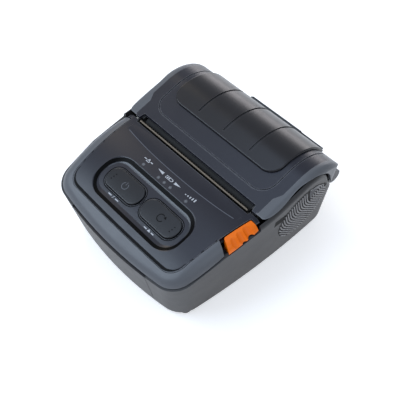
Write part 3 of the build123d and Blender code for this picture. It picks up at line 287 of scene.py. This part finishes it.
# %% A maker for moulded plastic
def moulded(name, tint, roughness, grain_scale=2600.0, grain_depth=0.00002, tone=0.12, edge=0.35,
            shine=0.5, rim=0.0005, glint=0.03):
    """A moulded plastic with grain, tone and edges painted paler for wear and highlight; rim is their width,
    glint their brightness.
    """
    material = bpy.data.materials.new(name)
    material.use_nodes = True
    tree = material.node_tree
    shader = tree.nodes["Principled BSDF"]
    skin = tree.nodes.new("ShaderNodeGroup")
    skin.node_tree = grain
    skin.inputs["Tint"].default_value = (*tint, 1)
    skin.inputs["Tone Spread"].default_value = tone
    skin.inputs["Roughness"].default_value = roughness
    skin.inputs["Roughness Spread"].default_value = 0.25 * roughness
    skin.inputs["Grain Scale"].default_value = grain_scale
    worn_and_highlit = tree.nodes.new("ShaderNodeGroup")
    worn_and_highlit.node_tree = edge_wear_and_highlight
    worn_and_highlit.inputs["Strength"].default_value = edge
    worn_and_highlit.inputs["Radius"].default_value = rim
    # Edges mix towards this paler colour: partly wear, partly a painted highlight as strong as glint.
    paler = tuple(min(1.0, channel * 1.8 + glint) for channel in tint)
    colour = mix_colour(tree, (worn_and_highlit, "Mask"), (skin, "Color"), (*paler, 1))
    bump = tree.nodes.new("ShaderNodeBump")
    bump.inputs["Distance"].default_value = grain_depth
    bump.inputs["Strength"].default_value = 0.6
    wire(tree, skin, "Height", bump, "Height")
    wire(tree, colour, 2, shader, "Base Color")
    wire(tree, skin, "Roughness", shader, "Roughness")
    wire(tree, bump, "Normal", shader, "Normal")
    shader.inputs["Specular IOR Level"].default_value = shine
    return material


finish = {
    "case_dark": moulded("case_dark_plastic", (0.026, 0.026, 0.029), 0.46, 2200.0, 0.00003, shine=0.42),
    "frame_grey": moulded("frame_grey_plastic", (0.094, 0.101, 0.117), 0.42, 2600.0, 0.00002, glint=0.06),
    "panel_black": moulded("panel_black_plastic", (0.008, 0.0095, 0.02), 0.33, 3000.0, 0.00002,
                           edge=1.0, rim=0.0006, glint=0.16),
    "gloss_black": moulded("gloss_black_plastic", (0.005, 0.005, 0.009), 0.3, 3400.0, 0.000002,
                           edge=0.8, rim=0.0004, glint=0.09),
    "key_black": moulded("key_black_plastic", (0.004, 0.005, 0.009), 0.3, 3000.0, 0.00002,
                         edge=1.0, rim=0.0006, glint=0.16),
    "orange": moulded("orange_plastic", (0.9, 0.17, 0.002), 0.36, 2600.0, 0.00001, edge=0.1, shine=0.3),
    "clear_window": moulded("light_pipe_plastic", (0.13, 0.14, 0.16), 0.25, 2600.0, 0.00001, edge=0.1),
    "inner_black": moulded("inner_black_plastic", (0.014, 0.014, 0.015), 0.45, 2200.0, 0.00003),
    "bearing": moulded("bearing_acetal", (0.72, 0.71, 0.66), 0.35, edge=0.1),
    "gear": moulded("gear_acetal", (0.78, 0.77, 0.71), 0.38, edge=0.1),
    "part_black": moulded("chip_black_resin", (0.02, 0.02, 0.021), 0.5, 1800.0, 0.00003),
    "cell": moulded("cell_blue_sleeve", (0.03, 0.12, 0.34), 0.28, 1600.0, 0.00001),
    "ceramic": moulded("head_glazed_ceramic", (0.34, 0.31, 0.27), 0.18, 2600.0, 0.000004),
}
print("plastics:", sorted(finish))

# %% [markdown]
# ## Rubber and metals
# Rubber is dull and slightly dusty. The metals are stamped, drawn or turned, so their scratches run
# one way. A noise stretched along that way gives the fine lines, in the roughness and in the bump.

# %% Rubber
finish["rubber"] = moulded("moulded_rubber", (0.02, 0.02, 0.021), 0.72, 1500.0, 0.00006,
                           tone=0.3, edge=0.2, shine=0.3)
print("rubber for the feet and the port cover")


# %% A maker for brushed metal
def brushed(name, tint, roughness, stretch, depth=0.000006):
    """A metal whose scratches run along the axis that stretch leaves small."""
    material = bpy.data.materials.new(name)
    material.use_nodes = True
    tree = material.node_tree
    shader = tree.nodes["Principled BSDF"]
    shader.inputs["Metallic"].default_value = 1.0
    lines = object_noise(tree, 900.0, 4.0, stretch)
    clouds = object_noise(tree, 160.0, 3.0)
    rough = math_node(tree, "MULTIPLY", (lines, "Fac"), 0.3)
    rough = math_node(tree, "ADD", (rough, 0), roughness - 0.15)
    rough.use_clamp = True
    worn_and_highlit = tree.nodes.new("ShaderNodeGroup")
    worn_and_highlit.node_tree = edge_wear_and_highlight
    worn_and_highlit.inputs["Radius"].default_value = 0.0002
    worn_and_highlit.inputs["Strength"].default_value = 0.5
    dull = tuple(0.8 * channel for channel in tint)
    # Edges mix towards a brighter colour: partly wear, partly a painted highlight.
    bright = tuple(min(1.0, 1.15 * channel) for channel in tint)
    colour = mix_colour(tree, (clouds, "Fac"), (*tint, 1), (*dull, 1))
    colour = mix_colour(tree, (worn_and_highlit, "Mask"), (colour, 2), (*bright, 1))
    bump = tree.nodes.new("ShaderNodeBump")
    bump.inputs["Distance"].default_value = depth
    wire(tree, lines, "Fac", bump, "Height")
    wire(tree, colour, 2, shader, "Base Color")
    wire(tree, rough, 0, shader, "Roughness")
    wire(tree, bump, "Normal", shader, "Normal")
    return material


finish["blade"] = brushed("tear_bar_steel", (0.56, 0.49, 0.41), 0.4, (0.05, 1, 1))
finish["steel"] = brushed("stamped_steel", (0.58, 0.58, 0.57), 0.36, (0.08, 1, 1))
finish["sink"] = brushed("milled_aluminium", (0.74, 0.74, 0.75), 0.4, (1, 0.1, 1))
finish["brass"] = brushed("gilt_brass", (0.78, 0.56, 0.24), 0.3, (0.3, 1, 1))
print("metals:", "tear bar, stamped steel, aluminium, brass")

# %% [markdown]
# ## Bright band of the tear bar
# The foot of the tear bar lies in the shade of the paper slot, and its fine teeth lie in shade too,
# so both are painted dark here: painted shade. Only the narrow band between them keeps the bare
# metal colour, and it shows as one pale line along the paper slot. Two soft steps on the height make
# that band, and it chooses between the bare metal and the painted shade.

# %% Band of bare metal
band_foot = 0.0015
band_head = 0.0006
step_sharpness = 4000.0
band_head_offset = 0.35
bar_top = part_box("tear_bar")[1][2]
blade_tree = finish["blade"].node_tree
blade_place = blade_tree.nodes.new("ShaderNodeTexCoord")
blade_split = blade_tree.nodes.new("ShaderNodeSeparateXYZ")
wire(blade_tree, blade_place, "Object", blade_split, "Vector")
over_foot = math_node(blade_tree, "SUBTRACT", (blade_split, "Z"), bar_top - band_foot)
over_foot = math_node(blade_tree, "MULTIPLY", (over_foot, 0), step_sharpness)
over_foot.use_clamp = True
under_teeth = math_node(blade_tree, "SUBTRACT", bar_top - band_head, (blade_split, "Z"))
under_teeth = math_node(blade_tree, "MULTIPLY", (under_teeth, 0), step_sharpness)
under_teeth = math_node(blade_tree, "ADD", (under_teeth, 0), band_head_offset)
under_teeth.use_clamp = True
band = math_node(blade_tree, "MULTIPLY", (over_foot, 0), (under_teeth, 0))
blade_shader = blade_tree.nodes["Principled BSDF"]
bare_metal = blade_shader.inputs["Base Color"].links[0].from_node
# Below and above the band the bar gets a near-black colour: painted shade.
shade_painted_blade = mix_colour(blade_tree, (band, 0), (0.02, 0.018, 0.016, 1), (bare_metal, 2))
wire(blade_tree, shade_painted_blade, 2, blade_shader, "Base Color")
print("bare band", round((band_foot - band_head) / MM, 2), "mm high")

# %% [markdown]
# ## Circuit board
# The boards hide inside the case. Solder resist is a glossy green film over copper tracks, so the
# tracks read as slightly lighter lines. A brick texture laid on the board gives the long straight
# tracks, and its mortar is the track.

# %% Board finish
board = bpy.data.materials.new("green_board")
board.use_nodes = True
board_tree = board.node_tree
board_shader = board_tree.nodes["Principled BSDF"]
board_place = board_tree.nodes.new("ShaderNodeTexCoord")
tracks = board_tree.nodes.new("ShaderNodeTexBrick")
tracks.inputs["Color1"].default_value = (0.008, 0.075, 0.028, 1)
tracks.inputs["Color2"].default_value = (0.01, 0.09, 0.035, 1)
tracks.inputs["Mortar"].default_value = (0.03, 0.17, 0.06, 1)
tracks.inputs["Scale"].default_value = 260.0
tracks.inputs["Mortar Size"].default_value = 0.04
tracks.inputs["Brick Width"].default_value = 2.4
wire(board_tree, board_place, "Object", tracks, "Vector")
board_skin = board_tree.nodes.new("ShaderNodeGroup")
board_skin.node_tree = grain
board_skin.inputs["Roughness"].default_value = 0.3
wire(board_tree, tracks, "Color", board_skin, "Tint")
board_bump = board_tree.nodes.new("ShaderNodeBump")
board_bump.inputs["Distance"].default_value = 0.00003
wire(board_tree, tracks, "Fac", board_bump, "Height")
wire(board_tree, board_skin, "Color", board_shader, "Base Color")
wire(board_tree, board_skin, "Roughness", board_shader, "Roughness")
wire(board_tree, board_bump, "Normal", board_shader, "Normal")
finish["board"] = board

# %% Give every CAD node its finish
for entry in frame["record"]["subparts"]:
    piece = nodes[entry["node"]]
    for slot in piece.material_slots:
        slot.material = finish[entry["material_slot"]]

# %% [markdown]
# ## Thin pieces that lie on a surface
# Printed marks and the symbols on the keys are only a film of ink. Each is drawn flat with bmesh
# shapes, laid on the surface below it by a ray from above, and given a few hundredths of a
# millimetre of body, so it has a real edge and stays with the part that it is printed on.

# %% Helpers for rays and finished pieces
ray_start = 0.09


def surface_of(node):
    """A search tree of a CAD node, for rays."""
    return BVHTree.FromObject(nodes[node], bpy.context.evaluated_depsgraph_get())


def side_hit(below, side, y, z):
    """Where a ray from the side, -1 or 1, meets a surface at y and z."""
    return below.ray_cast(Vector((side * ray_start, y, z)), Vector((-side, 0, 0)))[0]


def top_hit(below, x, y):
    """Where a ray from above meets a surface at x and y."""
    return below.ray_cast(Vector((x, y, ray_start)), Vector((0, 0, -1)))[0]


def new_vertices(made):
    """The vertices in what an extrusion made."""
    return [item for item in made["geom"] if isinstance(item, bmesh.types.BMVert)]


def finished_piece(name, shape, body, material):
    """Turn a shape into a piece of one material, and let it ride a body."""
    data = bpy.data.meshes.new(name)
    shape.to_mesh(data)
    shape.free()
    data.materials.append(material)
    piece = bpy.data.objects.new(name, data)
    bpy.context.scene.collection.objects.link(piece)
    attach(piece, body)
    print(name, len(data.polygons), "faces on", body)


# %% Helpers for flat marks
def bar(shape, x, y, width, height):
    """A flat bar about x and y, in millimetres."""
    made = bmesh.ops.create_grid(shape, x_segments=1, y_segments=1, size=0.5)["verts"]
    bmesh.ops.scale(shape, verts=made, vec=(width, height, 1))
    bmesh.ops.translate(shape, verts=made, vec=(x, y, 0))


def arc_band(shape, x, y, inner, outer, start, sweep, steps=28):
    """A flat band round x and y from the angle start through sweep, in degrees."""
    first, second = shape.verts.new((x + inner, y, 0)), shape.verts.new((x + outer, y, 0))
    side = shape.edges.new((first, second))
    centre = Vector((x, y, 0))
    bmesh.ops.rotate(shape, verts=[first, second], cent=centre, matrix=turned(start))
    bmesh.ops.spin(shape, geom=[first, second, side], cent=centre, axis=(0, 0, 1),
                   angle=math.radians(sweep), steps=steps, use_merge=abs(sweep) >= 360)


def turned(degrees):
    """A turn about Z."""
    return Matrix.Rotation(math.radians(degrees), 3, "Z")


def pointed(shape, *corners):
    """A flat face through the corners, in millimetres."""
    shape.faces.new([shape.verts.new((x, y, 0)) for x, y in corners])


def disc(shape, x, y, radius):
    """A flat round dot."""
    made = bmesh.ops.create_circle(shape, cap_ends=True, segments=20, radius=radius)["verts"]
    bmesh.ops.translate(shape, verts=made, vec=(x, y, 0))


film_sink = 0.04


def printed(name, shape, node, body, material, film=0.03):
    """Lay a flat shape on a node from above, give it a film's thickness and let it ride a body."""
    below = surface_of(node)
    bmesh.ops.scale(shape, verts=shape.verts, vec=(MM, MM, MM))
    for vertex in shape.verts:
        vertex.co.z = top_hit(below, vertex.co.x, vertex.co.y).z + film * MM
    bmesh.ops.recalc_face_normals(shape, faces=shape.faces)
    for face in shape.faces:
        if face.normal.z < 0:
            face.normal_flip()
    film_base = bmesh.ops.extrude_face_region(shape, geom=list(shape.faces), use_keep_orig=True)
    bmesh.ops.translate(shape, verts=new_vertices(film_base), vec=(0, 0, -(film + film_sink) * MM))
    bmesh.ops.recalc_face_normals(shape, faces=shape.faces)
    finished_piece(name, shape, body, material)


# %% Inks
ink_pale = moulded("pale_ink", (0.5, 0.52, 0.57), 0.5, 1500.0, 0.00001, edge=0.0)
ink_dim = moulded("dim_ink", (0.085, 0.09, 0.11), 0.45, 1500.0, 0.00001, edge=0.0)
ink_dark = moulded("dark_ink", (0.002, 0.002, 0.002), 0.5, 1500.0, 0.00001, edge=0.0, shine=0.1)
print("inks:", ink_pale.name, ink_dim.name, ink_dark.name)

# %% [markdown]
# ## Painted shade and highlights on the panel's edges
# The wall of the key recess, the gaps round the keys and the front edge of the panel read as dark
# bands, and the foot of the recess wall and the crease before the paper slot as bright lines. These
# are painted here: a near-black film is painted shade, and a paler film a painted highlight. Each is a
# thin film on the panel, bridged between two outlines.

# %% Helpers for rings
def rounded_outline(half_width, half_depth, corner, steps=8):
    """Points of a rounded rectangle about the origin, counter-clockwise."""
    points = []
    for index, (side_x, side_y) in enumerate(((1, 1), (-1, 1), (-1, -1), (1, -1))):
        for step in range(steps + 1):
            angle = math.radians(90.0 * index + 90.0 * step / steps)
            x = side_x * (half_width - corner) + corner * math.cos(angle)
            y = side_y * (half_depth - corner) + corner * math.sin(angle)
            points.append((x, y))
    return points


def chain(shape, points, closed):
    """The edges that join flat points in their order."""
    corners = [shape.verts.new((x, y, 0)) for x, y in points]
    following = corners[1:] + corners[:1] if closed else corners[1:]
    return [shape.edges.new(pair) for pair in zip(corners, following)]


def bridged(first, second, closed=True):
    """A flat strip or ring between two lines that have the same number of points."""
    shape = bmesh.new()
    edges = chain(shape, first, closed) + chain(shape, second, closed)
    bmesh.ops.bridge_loops(shape, edges=edges)
    return shape


def placed(points, x, y):
    """The points, moved by x and y."""
    return [(x + point_x, y + point_y) for point_x, point_y in points]


# A near-black film with little shine: painted shade for the recess wall, the key gaps and the panel's front
# edge.
painted_shade_black = moulded("painted_shade_black_plastic", (0.0015, 0.0016, 0.002), 0.4, 3000.0, 0.000002,
                 edge=0.0, shine=0.07)
# A paler film: a painted highlight along the foot of the recess wall.
painted_rim_highlight = moulded("painted_rim_highlight_plastic", (0.035, 0.04, 0.05), 0.25, 3000.0, 0.000002, edge=0.0)

# %% Wall of the key recess
recess_y = -37.8
wall_top, wall_foot = rounded_outline(32.0, 12.3, 10.8), rounded_outline(30.2, 10.3, 8.8)
recess_wall = bridged(placed(wall_top, 0, recess_y), placed(wall_foot, 0, recess_y))
# The recess wall is painted as shade, with a near-black film.
printed("recess_wall", recess_wall, "control_panel", "base", painted_shade_black, film=0.02)

rear_points = len(wall_foot) // 2
rim_outer = rounded_outline(30.0, 10.1, 8.6)[:rear_points]
rim_inner = rounded_outline(29.45, 9.55, 8.1)[:rear_points]
recess_foot = bridged(placed(rim_outer, 0, recess_y), placed(rim_inner, 0, recess_y), closed=False)
# The foot of the recess wall gets a painted highlight.
printed("recess_foot", recess_foot, "control_panel", "base", painted_rim_highlight, film=0.03)

# %% Shadow gaps round the keys
key_x, key_y, key_half_x, key_half_y, key_corner = 13.9, -37.5, 12.6, 5.76, 5.2
gap_outer = rounded_outline(key_half_x + 0.95, key_half_y + 1.1, key_corner + 0.8)
gap_inner = rounded_outline(key_half_x + 0.5, key_half_y + 0.55, key_corner + 0.2)
# Each gap is painted shade: a near-black ring round the key.
for name, side in (("power", -1), ("feed", 1)):
    gap = bridged(placed(gap_outer, side * key_x, key_y), placed(gap_inner, side * key_x, key_y))
    printed("gap_" + name, gap, "control_panel", "base", painted_shade_black, film=0.02)

# %% Crease before the paper slot
crease_half = 0.2
crease_middle_y, crease_rise, crease_end_x = -16.05, 2.55, 40.5
crease_line = [(x, crease_middle_y + crease_rise * abs(x / crease_end_x) ** 2.4) for x in range(-40, 41, 5)]
crease = bridged(placed(crease_line, 0, crease_half), placed(crease_line, 0, -crease_half), closed=False)
# The crease is a painted highlight: a thin pale strip along it.
painted_crease_highlight = moulded("painted_crease_highlight_plastic", (0.11, 0.12, 0.15), 0.3, 3000.0, 0.000002, edge=0.0)
printed("panel_crease", crease, "control_panel", "base", painted_crease_highlight, film=0.02)

# %% Rolled front edge of the panel
panel_rear_half, panel_rear_y, panel_taper = 45.8, -6.6, 0.1
panel_front_y, front_bow = -54.9, 0.5
corner_x, corner_y, corner_radius, corner_steps = 33.2, -46.4, 8.0, 8
edge_line, edge_inward = [], []
for y in (-20.0, -28.0, -36.0, -42.0):
    edge_line.append((-(panel_rear_half + panel_taper * (y - panel_rear_y)), y))
    edge_inward.append((1.0, 0.0))
for step in range(corner_steps + 1):
    angle = math.radians(180 + 90 * step / corner_steps)
    outward_x, outward_y = math.cos(angle), math.sin(angle)
    edge_line.append((corner_radius * outward_x - corner_x, corner_radius * outward_y + corner_y))
    edge_inward.append((-outward_x, -outward_y))
for x in (-24.0, -12.0, 0.0):
    edge_line.append((x, panel_front_y + front_bow * (x / corner_x) ** 2))
    edge_inward.append((0.0, 1.0))
edge_line += [(-x, y) for x, y in edge_line[-2::-1]]
edge_inward += [(-x, y) for x, y in edge_inward[-2::-1]]


def inset_edge(at_side, more_in_front):
    """The panel's edge moved inwards, by more along the front."""
    moved = []
    for (x, y), (inward_x, inward_y) in zip(edge_line, edge_inward):
        inset = at_side + more_in_front * max(0.0, inward_y) ** 2
        moved.append((x + inset * inward_x, y + inset * inward_y))
    return moved


# The front edge is painted shade: a near-black strip laid along it.
panel_edge = bridged(inset_edge(0.08, 0.05), inset_edge(0.45, 1.1), closed=False)
printed("panel_edge", panel_edge, "control_panel", "base", painted_shade_black, film=0.02)

# %% [markdown]
# ## Lip at the back of the paper cover
# Behind the raised insert the cover has a thin upstanding lip. From the front it shows only as a
# dark line along the rear outline. A ray finds the cover's back, and five sections along the lip,
# thick in the middle and thin at the ends, are bridged into one bar that stands square on it.

# %% Rear lip
lip_turn = math.radians(28.0)
lip_out = Vector((0, math.cos(lip_turn), math.sin(lip_turn)))
lip_along = Vector((0, -math.sin(lip_turn), math.cos(lip_turn)))
lip_axis = Vector((0, 29.5, 30.0)) * MM
lip_half = 0.6 * MM
lip_sink = 0.3 * MM
outside_cover = 60 * MM
cover_back = surface_of("lid_shell").ray_cast(lip_axis + outside_cover * lip_out, -lip_out)[0]
cover_radius = (cover_back - lip_axis).length
# Each section: its x, its share of the full thickness, and its reach from the axis of the roll
lip_sections = ((-17.0, 0.4, 29.4), (-15.5, 1.0, 30.1), (20.0, 1.0, 30.1),
                (21.5, 0.5, 29.8), (36.5, 0.4, 29.7))
lip = bmesh.new()
sections = []
for x, thickness, reach in lip_sections:
    middle = Vector((x * MM, 0, 0)) + lip_axis
    foot, head = middle + (cover_radius - lip_sink) * lip_out, middle + reach * MM * lip_out
    half = thickness * lip_half * lip_along
    corners = [lip.verts.new(place) for place in (foot - half, foot + half, head + half, head - half)]
    sections.append([lip.edges.new(pair) for pair in zip(corners, corners[1:] + corners[:1])])
for first, second in zip(sections, sections[1:]):
    bmesh.ops.bridge_loops(lip, edges=first + second)
bmesh.ops.contextual_create(lip, geom=sections[0])
bmesh.ops.contextual_create(lip, geom=sections[-1])
bmesh.ops.recalc_face_normals(lip, faces=lip.faces)
long_edges = [edge for edge in lip.edges if abs(edge.verts[0].co.x - edge.verts[1].co.x) > 10 * MM]
bmesh.ops.bevel(lip, geom=long_edges, offset=0.12 * MM, affect="EDGES", segments=2, profile=0.5, material=-1)
finished_piece("rear_lip", lip, "lid", finish["gloss_black"])

# %% [markdown]
# ## Marks round the indicators
# Beside the five indicator lights the panel carries small pale marks. A warning triangle stands
# over the error light, two long wedges and a battery outline over the charge lights, and five
# rising bars over the status light. Under each key is a small pictogram of what it does. They are
# built from flat bars and pointed shapes, whose edges stay crisp in a close view.

# %% Pictograms on the panel
stroke_half = 0.16
triangle_centre = Vector((-16.2, -19.8))
triangle = [Vector(corner) for corner in ((-1.15, -0.95), (1.15, -0.95), (0, 1.05))]
warning = bmesh.new()
for start, end in zip(triangle, triangle[1:] + triangle[:1]):
    run = end - start
    side = Vector((-run.y, run.x)).normalized() * stroke_half
    corners = [triangle_centre + offset for offset in (start + side, start - side, end - side, end + side)]
    pointed(warning, *[tuple(corner) for corner in corners])
bar(warning, -16.2, -19.75, 0.26, 0.75)
bar(warning, -16.2, -20.4, 0.26, 0.26)
bar(warning, -18.6, -19.9, 1.6, 0.5)
bar(warning, -13.8, -19.9, 1.6, 0.5)
printed("mark_warning", warning, "control_panel", "base", ink_pale)

charge = bmesh.new()
pointed(charge, (-8.9, -19.6), (-4.4, -20.75), (-4.4, -19.15))
pointed(charge, (8.4, -19.6), (4.1, -19.15), (4.1, -20.75))
for x, y, width, height in ((0, -19.2, 4.4, 0.28), (0, -20.7, 4.4, 0.28), (-2.2, -19.95, 0.28, 1.78),
                            (2.2, -19.95, 0.28, 1.78), (2.6, -19.95, 0.42, 0.8), (-1.1, -19.95, 0.75, 0.8),
                            (0.1, -19.95, 0.75, 0.8)):
    bar(charge, x, y, width, height)
printed("mark_charge", charge, "control_panel", "base", ink_pale)

signal = bmesh.new()
for step in range(5):
    bar(signal, 13.2 + 1.55 * step, -20.6 + 0.16 * step, 0.7, 0.5 + 0.32 * step)
printed("mark_signal", signal, "control_panel", "base", ink_pale)

# %% Pictograms under the two keys
power_mark = bmesh.new()
pointed(power_mark, (-14.55, -45.2), (-13.6, -44.3), (-13.95, -45.1))
pointed(power_mark, (-13.85, -45.35), (-14.8, -46.25), (-14.45, -45.45))
bar(power_mark, -16.9, -45.3, 2.4, 0.5)
bar(power_mark, -11.5, -45.3, 2.4, 0.5)
printed("mark_power", power_mark, "control_panel", "base", ink_pale)

feed_mark = bmesh.new()
pointed(feed_mark, (13.0, -45.9), (15.0, -45.9), (14.0, -44.5))
bar(feed_mark, 11.4, -45.5, 1.9, 0.5)
bar(feed_mark, 16.6, -45.5, 1.9, 0.5)
printed("mark_feed", feed_mark, "control_panel", "base", ink_pale)

# %% [markdown]
# ## Symbols on the keys
# The left key carries the common power symbol in a dim grey, and the right key a curled arrow for
# paper feed in a darker tone. Both have three touch dots at their outer end. Symbols ride their own
# key, so they sink with it. The arc of each symbol is one short edge, spun about its centre.

# %% Key symbols
power_symbol = bmesh.new()
arc_band(power_symbol, -13.5, -37.9, 1.65, 2.05, 122, 296)
bar(power_symbol, -13.5, -36.5, 0.4, 1.9)
printed("symbol_power", power_symbol, "power_button", "power_button", ink_dim)

feed_symbol = bmesh.new()
arc_band(feed_symbol, 14.0, -37.6, 1.75, 2.2, 60, 275)
pointed(feed_symbol, (15.1, -36.6), (16.9, -36.9), (15.9, -35.3))
printed("symbol_feed", feed_symbol, "feed_button", "feed_button", ink_dark)

for key, body, centre in (("feed", "feed_button", 23.0), ("power", "power_button", -22.4)):
    dots = bmesh.new()
    for step in (-1, 0, 1):
        disc(dots, centre + 0.25 * step, -38.1 + 1.6 * step, 0.32)
    printed("dots_" + key, dots, body, body, ink_dark, film=0.06)

# %% [markdown]
# ## Grip pads on the cheeks
# On each round cheek a disc of fine ribs keeps the printer from slipping out of the hand. The ribs
# fall steeply from the top of the disc, bend in the middle and run out flatter to the rear, and at
# the upper rear they close into arches. Each rib is a curve traced through that flow, laid on the
# cheek by sideways rays, and given a round section that is half sunk, which is quicker and cleaner
# than cutting forty grooves. The ribs are painted lighter than the cheek, a painted highlight for the
# light on their crests, and a near-black film under them paints the shade in the grooves.

# %% Trace the ribs
grip_centre = Vector((25.3, 31.2))
grip_radius = 17.4
rib_pitch = 1.5
rib_step = 0.8
arch_centre = Vector((28.6, 38.2))
arch_start_y = 28.4
bend_place = Vector((9.0, 28.0))
bend_way = Vector((0.909, 0.418))
bend_slope = 0.46
bend_width = 3.0
flat_angle, extra_angle = -44.0, -27.0
trace_margin, trace_limit = 14.0, 90
rib_counts, arch_counts, arch_degrees = range(-12, 30), range(1, 9), range(-8, 107, 8)


def rib_direction(y, z):
    """Which way a rib runs at a place on the cheek: steep over the bend, flatter under it."""
    over = (z - (bend_place.y + bend_slope * (y - bend_place.x))) / bend_width
    blend = 0.5 + 0.5 * math.tanh(over)
    angle = math.radians(flat_angle + extra_angle * blend)
    return Vector((math.cos(angle), math.sin(angle)))


def traced(seed, way):
    """Follow the flow from a seed until it is well outside the disc."""
    points, place = [], seed.copy()
    while (place - grip_centre).length < grip_radius + trace_margin and len(points) < trace_limit:
        points.append(place.copy())
        place = place + way * rib_step * rib_direction(*place)
    return points


lines = []
for count in rib_counts:
    seed = bend_place + bend_way * rib_pitch * count
    down, up = traced(seed, 1), traced(seed, -1)
    lines.append(down[::-1] + ([] if seed.x > arch_start_y else up[1:]))
for count in arch_counts:
    turns = [math.radians(degrees) for degrees in arch_degrees]
    lines.append([arch_centre + rib_pitch * count * Vector((math.cos(turn), math.sin(turn)))
                  for turn in turns])
ribs = [[place for place in line if (place - grip_centre).length < grip_radius] for line in lines]
ribs = [rib for rib in ribs if len(rib) > 3]
print(len(ribs), "ribs on each cheek")

# %% Lay the ribs on both cheeks
rib_half = 0.45
rib_sink = 0.02
rib_proud = 0.08
cheek_limit = cad_high.x / MM + rib_proud - rib_half
# The ribs are painted lighter than the cheek: a painted highlight on their crests.
rib_highlight_plastic = moulded("grip_rib_painted_highlight", (0.12, 0.12, 0.13), 0.38, 2200.0, 0.00002, edge=0.0)


def grip_pad(name, side):
    """The ribs of one cheek, side -1 or 1, as one mesh."""
    cheek = surface_of("lower_housing")
    curve = bpy.data.curves.new(name, "CURVE")
    curve.dimensions = "3D"
    curve.bevel_depth = rib_half * MM
    curve.bevel_resolution = 1
    curve.use_fill_caps = True
    for rib in ribs:
        spline = curve.splines.new("POLY")
        spline.points.add(len(rib) - 1)
        for point, (y, z) in zip(spline.points, rib):
            hit = side_hit(cheek, side, y * MM, z * MM)
            reach = min(abs(hit.x) / MM - rib_sink, cheek_limit)
            point.co = (side * reach * MM, y * MM, z * MM, 1)
    drawn = bpy.data.objects.new(name + "_curve", curve)
    bpy.context.scene.collection.objects.link(drawn)
    data = bpy.data.meshes.new_from_object(drawn)
    bpy.data.objects.remove(drawn)
    data.name = name
    data.materials.clear()
    data.materials.append(rib_highlight_plastic)
    for face in data.polygons:
        face.use_smooth = True
    piece = bpy.data.objects.new(name, data)
    bpy.context.scene.collection.objects.link(piece)
    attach(piece, "base")
    print(name, len(data.polygons), "faces")


grip_pad("grip_ribs_right", 1)
grip_pad("grip_ribs_left", -1)

# %% Painted shade under the ribs
bed_film, bed_sink, bed_margin = 0.02, 0.05, 0.2
bed_rings, bed_spokes = 10, 56
# A near-black film: painted shade in the grooves between the ribs.
groove_painted_shade = moulded("grip_groove_painted_shade", (0.004, 0.004, 0.004), 0.6, 2200.0, 0.00002,
                         edge=0.0, shine=0.15)


def grip_bed(name, side):
    """Painted shade under the ribs of one cheek: a near-black disc spun from a line and laid on by rays."""
    cheek = surface_of("lower_housing")
    shape = bmesh.new()
    centre = Vector((0, grip_centre.x, grip_centre.y)) * MM
    ring_step = (grip_radius + bed_margin) / bed_rings * MM
    spoke = [shape.verts.new(centre + Vector((0, count * ring_step, 0))) for count in range(bed_rings + 1)]
    edges = [shape.edges.new(pair) for pair in zip(spoke, spoke[1:])]
    bmesh.ops.spin(shape, geom=spoke + edges, cent=centre, axis=(1, 0, 0), angle=math.tau,
                   steps=bed_spokes, use_merge=True)
    bmesh.ops.remove_doubles(shape, verts=shape.verts, dist=0.01 * MM)
    for vertex in shape.verts:
        vertex.co.x = side_hit(cheek, side, vertex.co.y, vertex.co.z).x + side * bed_film * MM
    raised = bmesh.ops.extrude_face_region(shape, geom=list(shape.faces), use_keep_orig=True)
    bmesh.ops.translate(shape, verts=new_vertices(raised), vec=(-side * (bed_film + bed_sink) * MM, 0, 0))
    bmesh.ops.recalc_face_normals(shape, faces=shape.faces)
    finished_piece(name, shape, "base", groove_painted_shade)


grip_bed("grip_bed_right", 1)
grip_bed("grip_bed_left", -1)

# %% [markdown]
# ## Painted shade strips on the cheeks
# A thin, near-black strip lies on the side of each cheek. It was meant to paint the black shade of
# the joint under the cover's grey band, but the height of its probe is too low for that, so it lies
# mostly under the grip pad. Its front end shows as a short dark bar, and a little of its rear end at
# the edge of the pad. Each strip is a flat grid wrapped on the wall: its length runs along the cheek,
# and its width turns about a point inside the wall, towards which rays find the skin.

# %% Painted shade strips
shade_strip_film, shade_strip_sink = 0.05, 0.08
shade_strip_start, shade_strip_end, shade_strip_rows = 3.0, 42.0, 26
shade_strip_low, shade_strip_high, shade_strip_columns = -6.0, 114.0, 10
wall_inset, wall_drop, ray_reach = 1.6, 2.2, 8.0
wall_probe_z = 0.038
# A near-black film: painted shade of the joint under the cover's band.
joint_shade_film = moulded("joint_shade_film", (0.003, 0.003, 0.003), 0.6, 1500.0, 0.00002, edge=0.0, shine=0.1)


def wall_point(cheek, side, y, turn):
    """The place on the strip's skin at y, in the direction turn about a point inside the wall."""
    inner_x = abs(side_hit(cheek, side, y * MM, wall_probe_z).x) - wall_inset * MM
    top = top_hit(cheek, side * inner_x, y * MM)
    centre = Vector((side * inner_x, y * MM, top.z - wall_drop * MM))
    way = Vector((side * math.cos(turn), 0, math.sin(turn)))
    hit = cheek.ray_cast(centre + ray_reach * MM * way, -way)[0]
    return hit + shade_strip_film * MM * way


def cheek_shade_strip(name, side):
    """A thin near-black strip of painted shade along one cheek, side -1 or 1."""
    cheek = surface_of("lower_housing")
    shape = bmesh.new()
    bmesh.ops.create_grid(shape, x_segments=shade_strip_rows, y_segments=shade_strip_columns, size=0.5)
    for vertex in shape.verts:
        along, across = vertex.co.x + 0.5, vertex.co.y + 0.5
        turn = math.radians(shade_strip_low + (shade_strip_high - shade_strip_low) * across)
        vertex.co = wall_point(cheek, side, shade_strip_start + (shade_strip_end - shade_strip_start) * along, turn)
    inner = bmesh.ops.extrude_face_region(shape, geom=list(shape.faces), use_keep_orig=True)
    bmesh.ops.translate(shape, verts=new_vertices(inner), vec=(-side * shade_strip_sink * MM, 0, -shade_strip_sink * MM))
    bmesh.ops.recalc_face_normals(shape, faces=shape.faces)
    finished_piece(name, shape, "base", joint_shade_film)


cheek_shade_strip("cheek_shade_strip_right", 1)
cheek_shade_strip("cheek_shade_strip_left", -1)
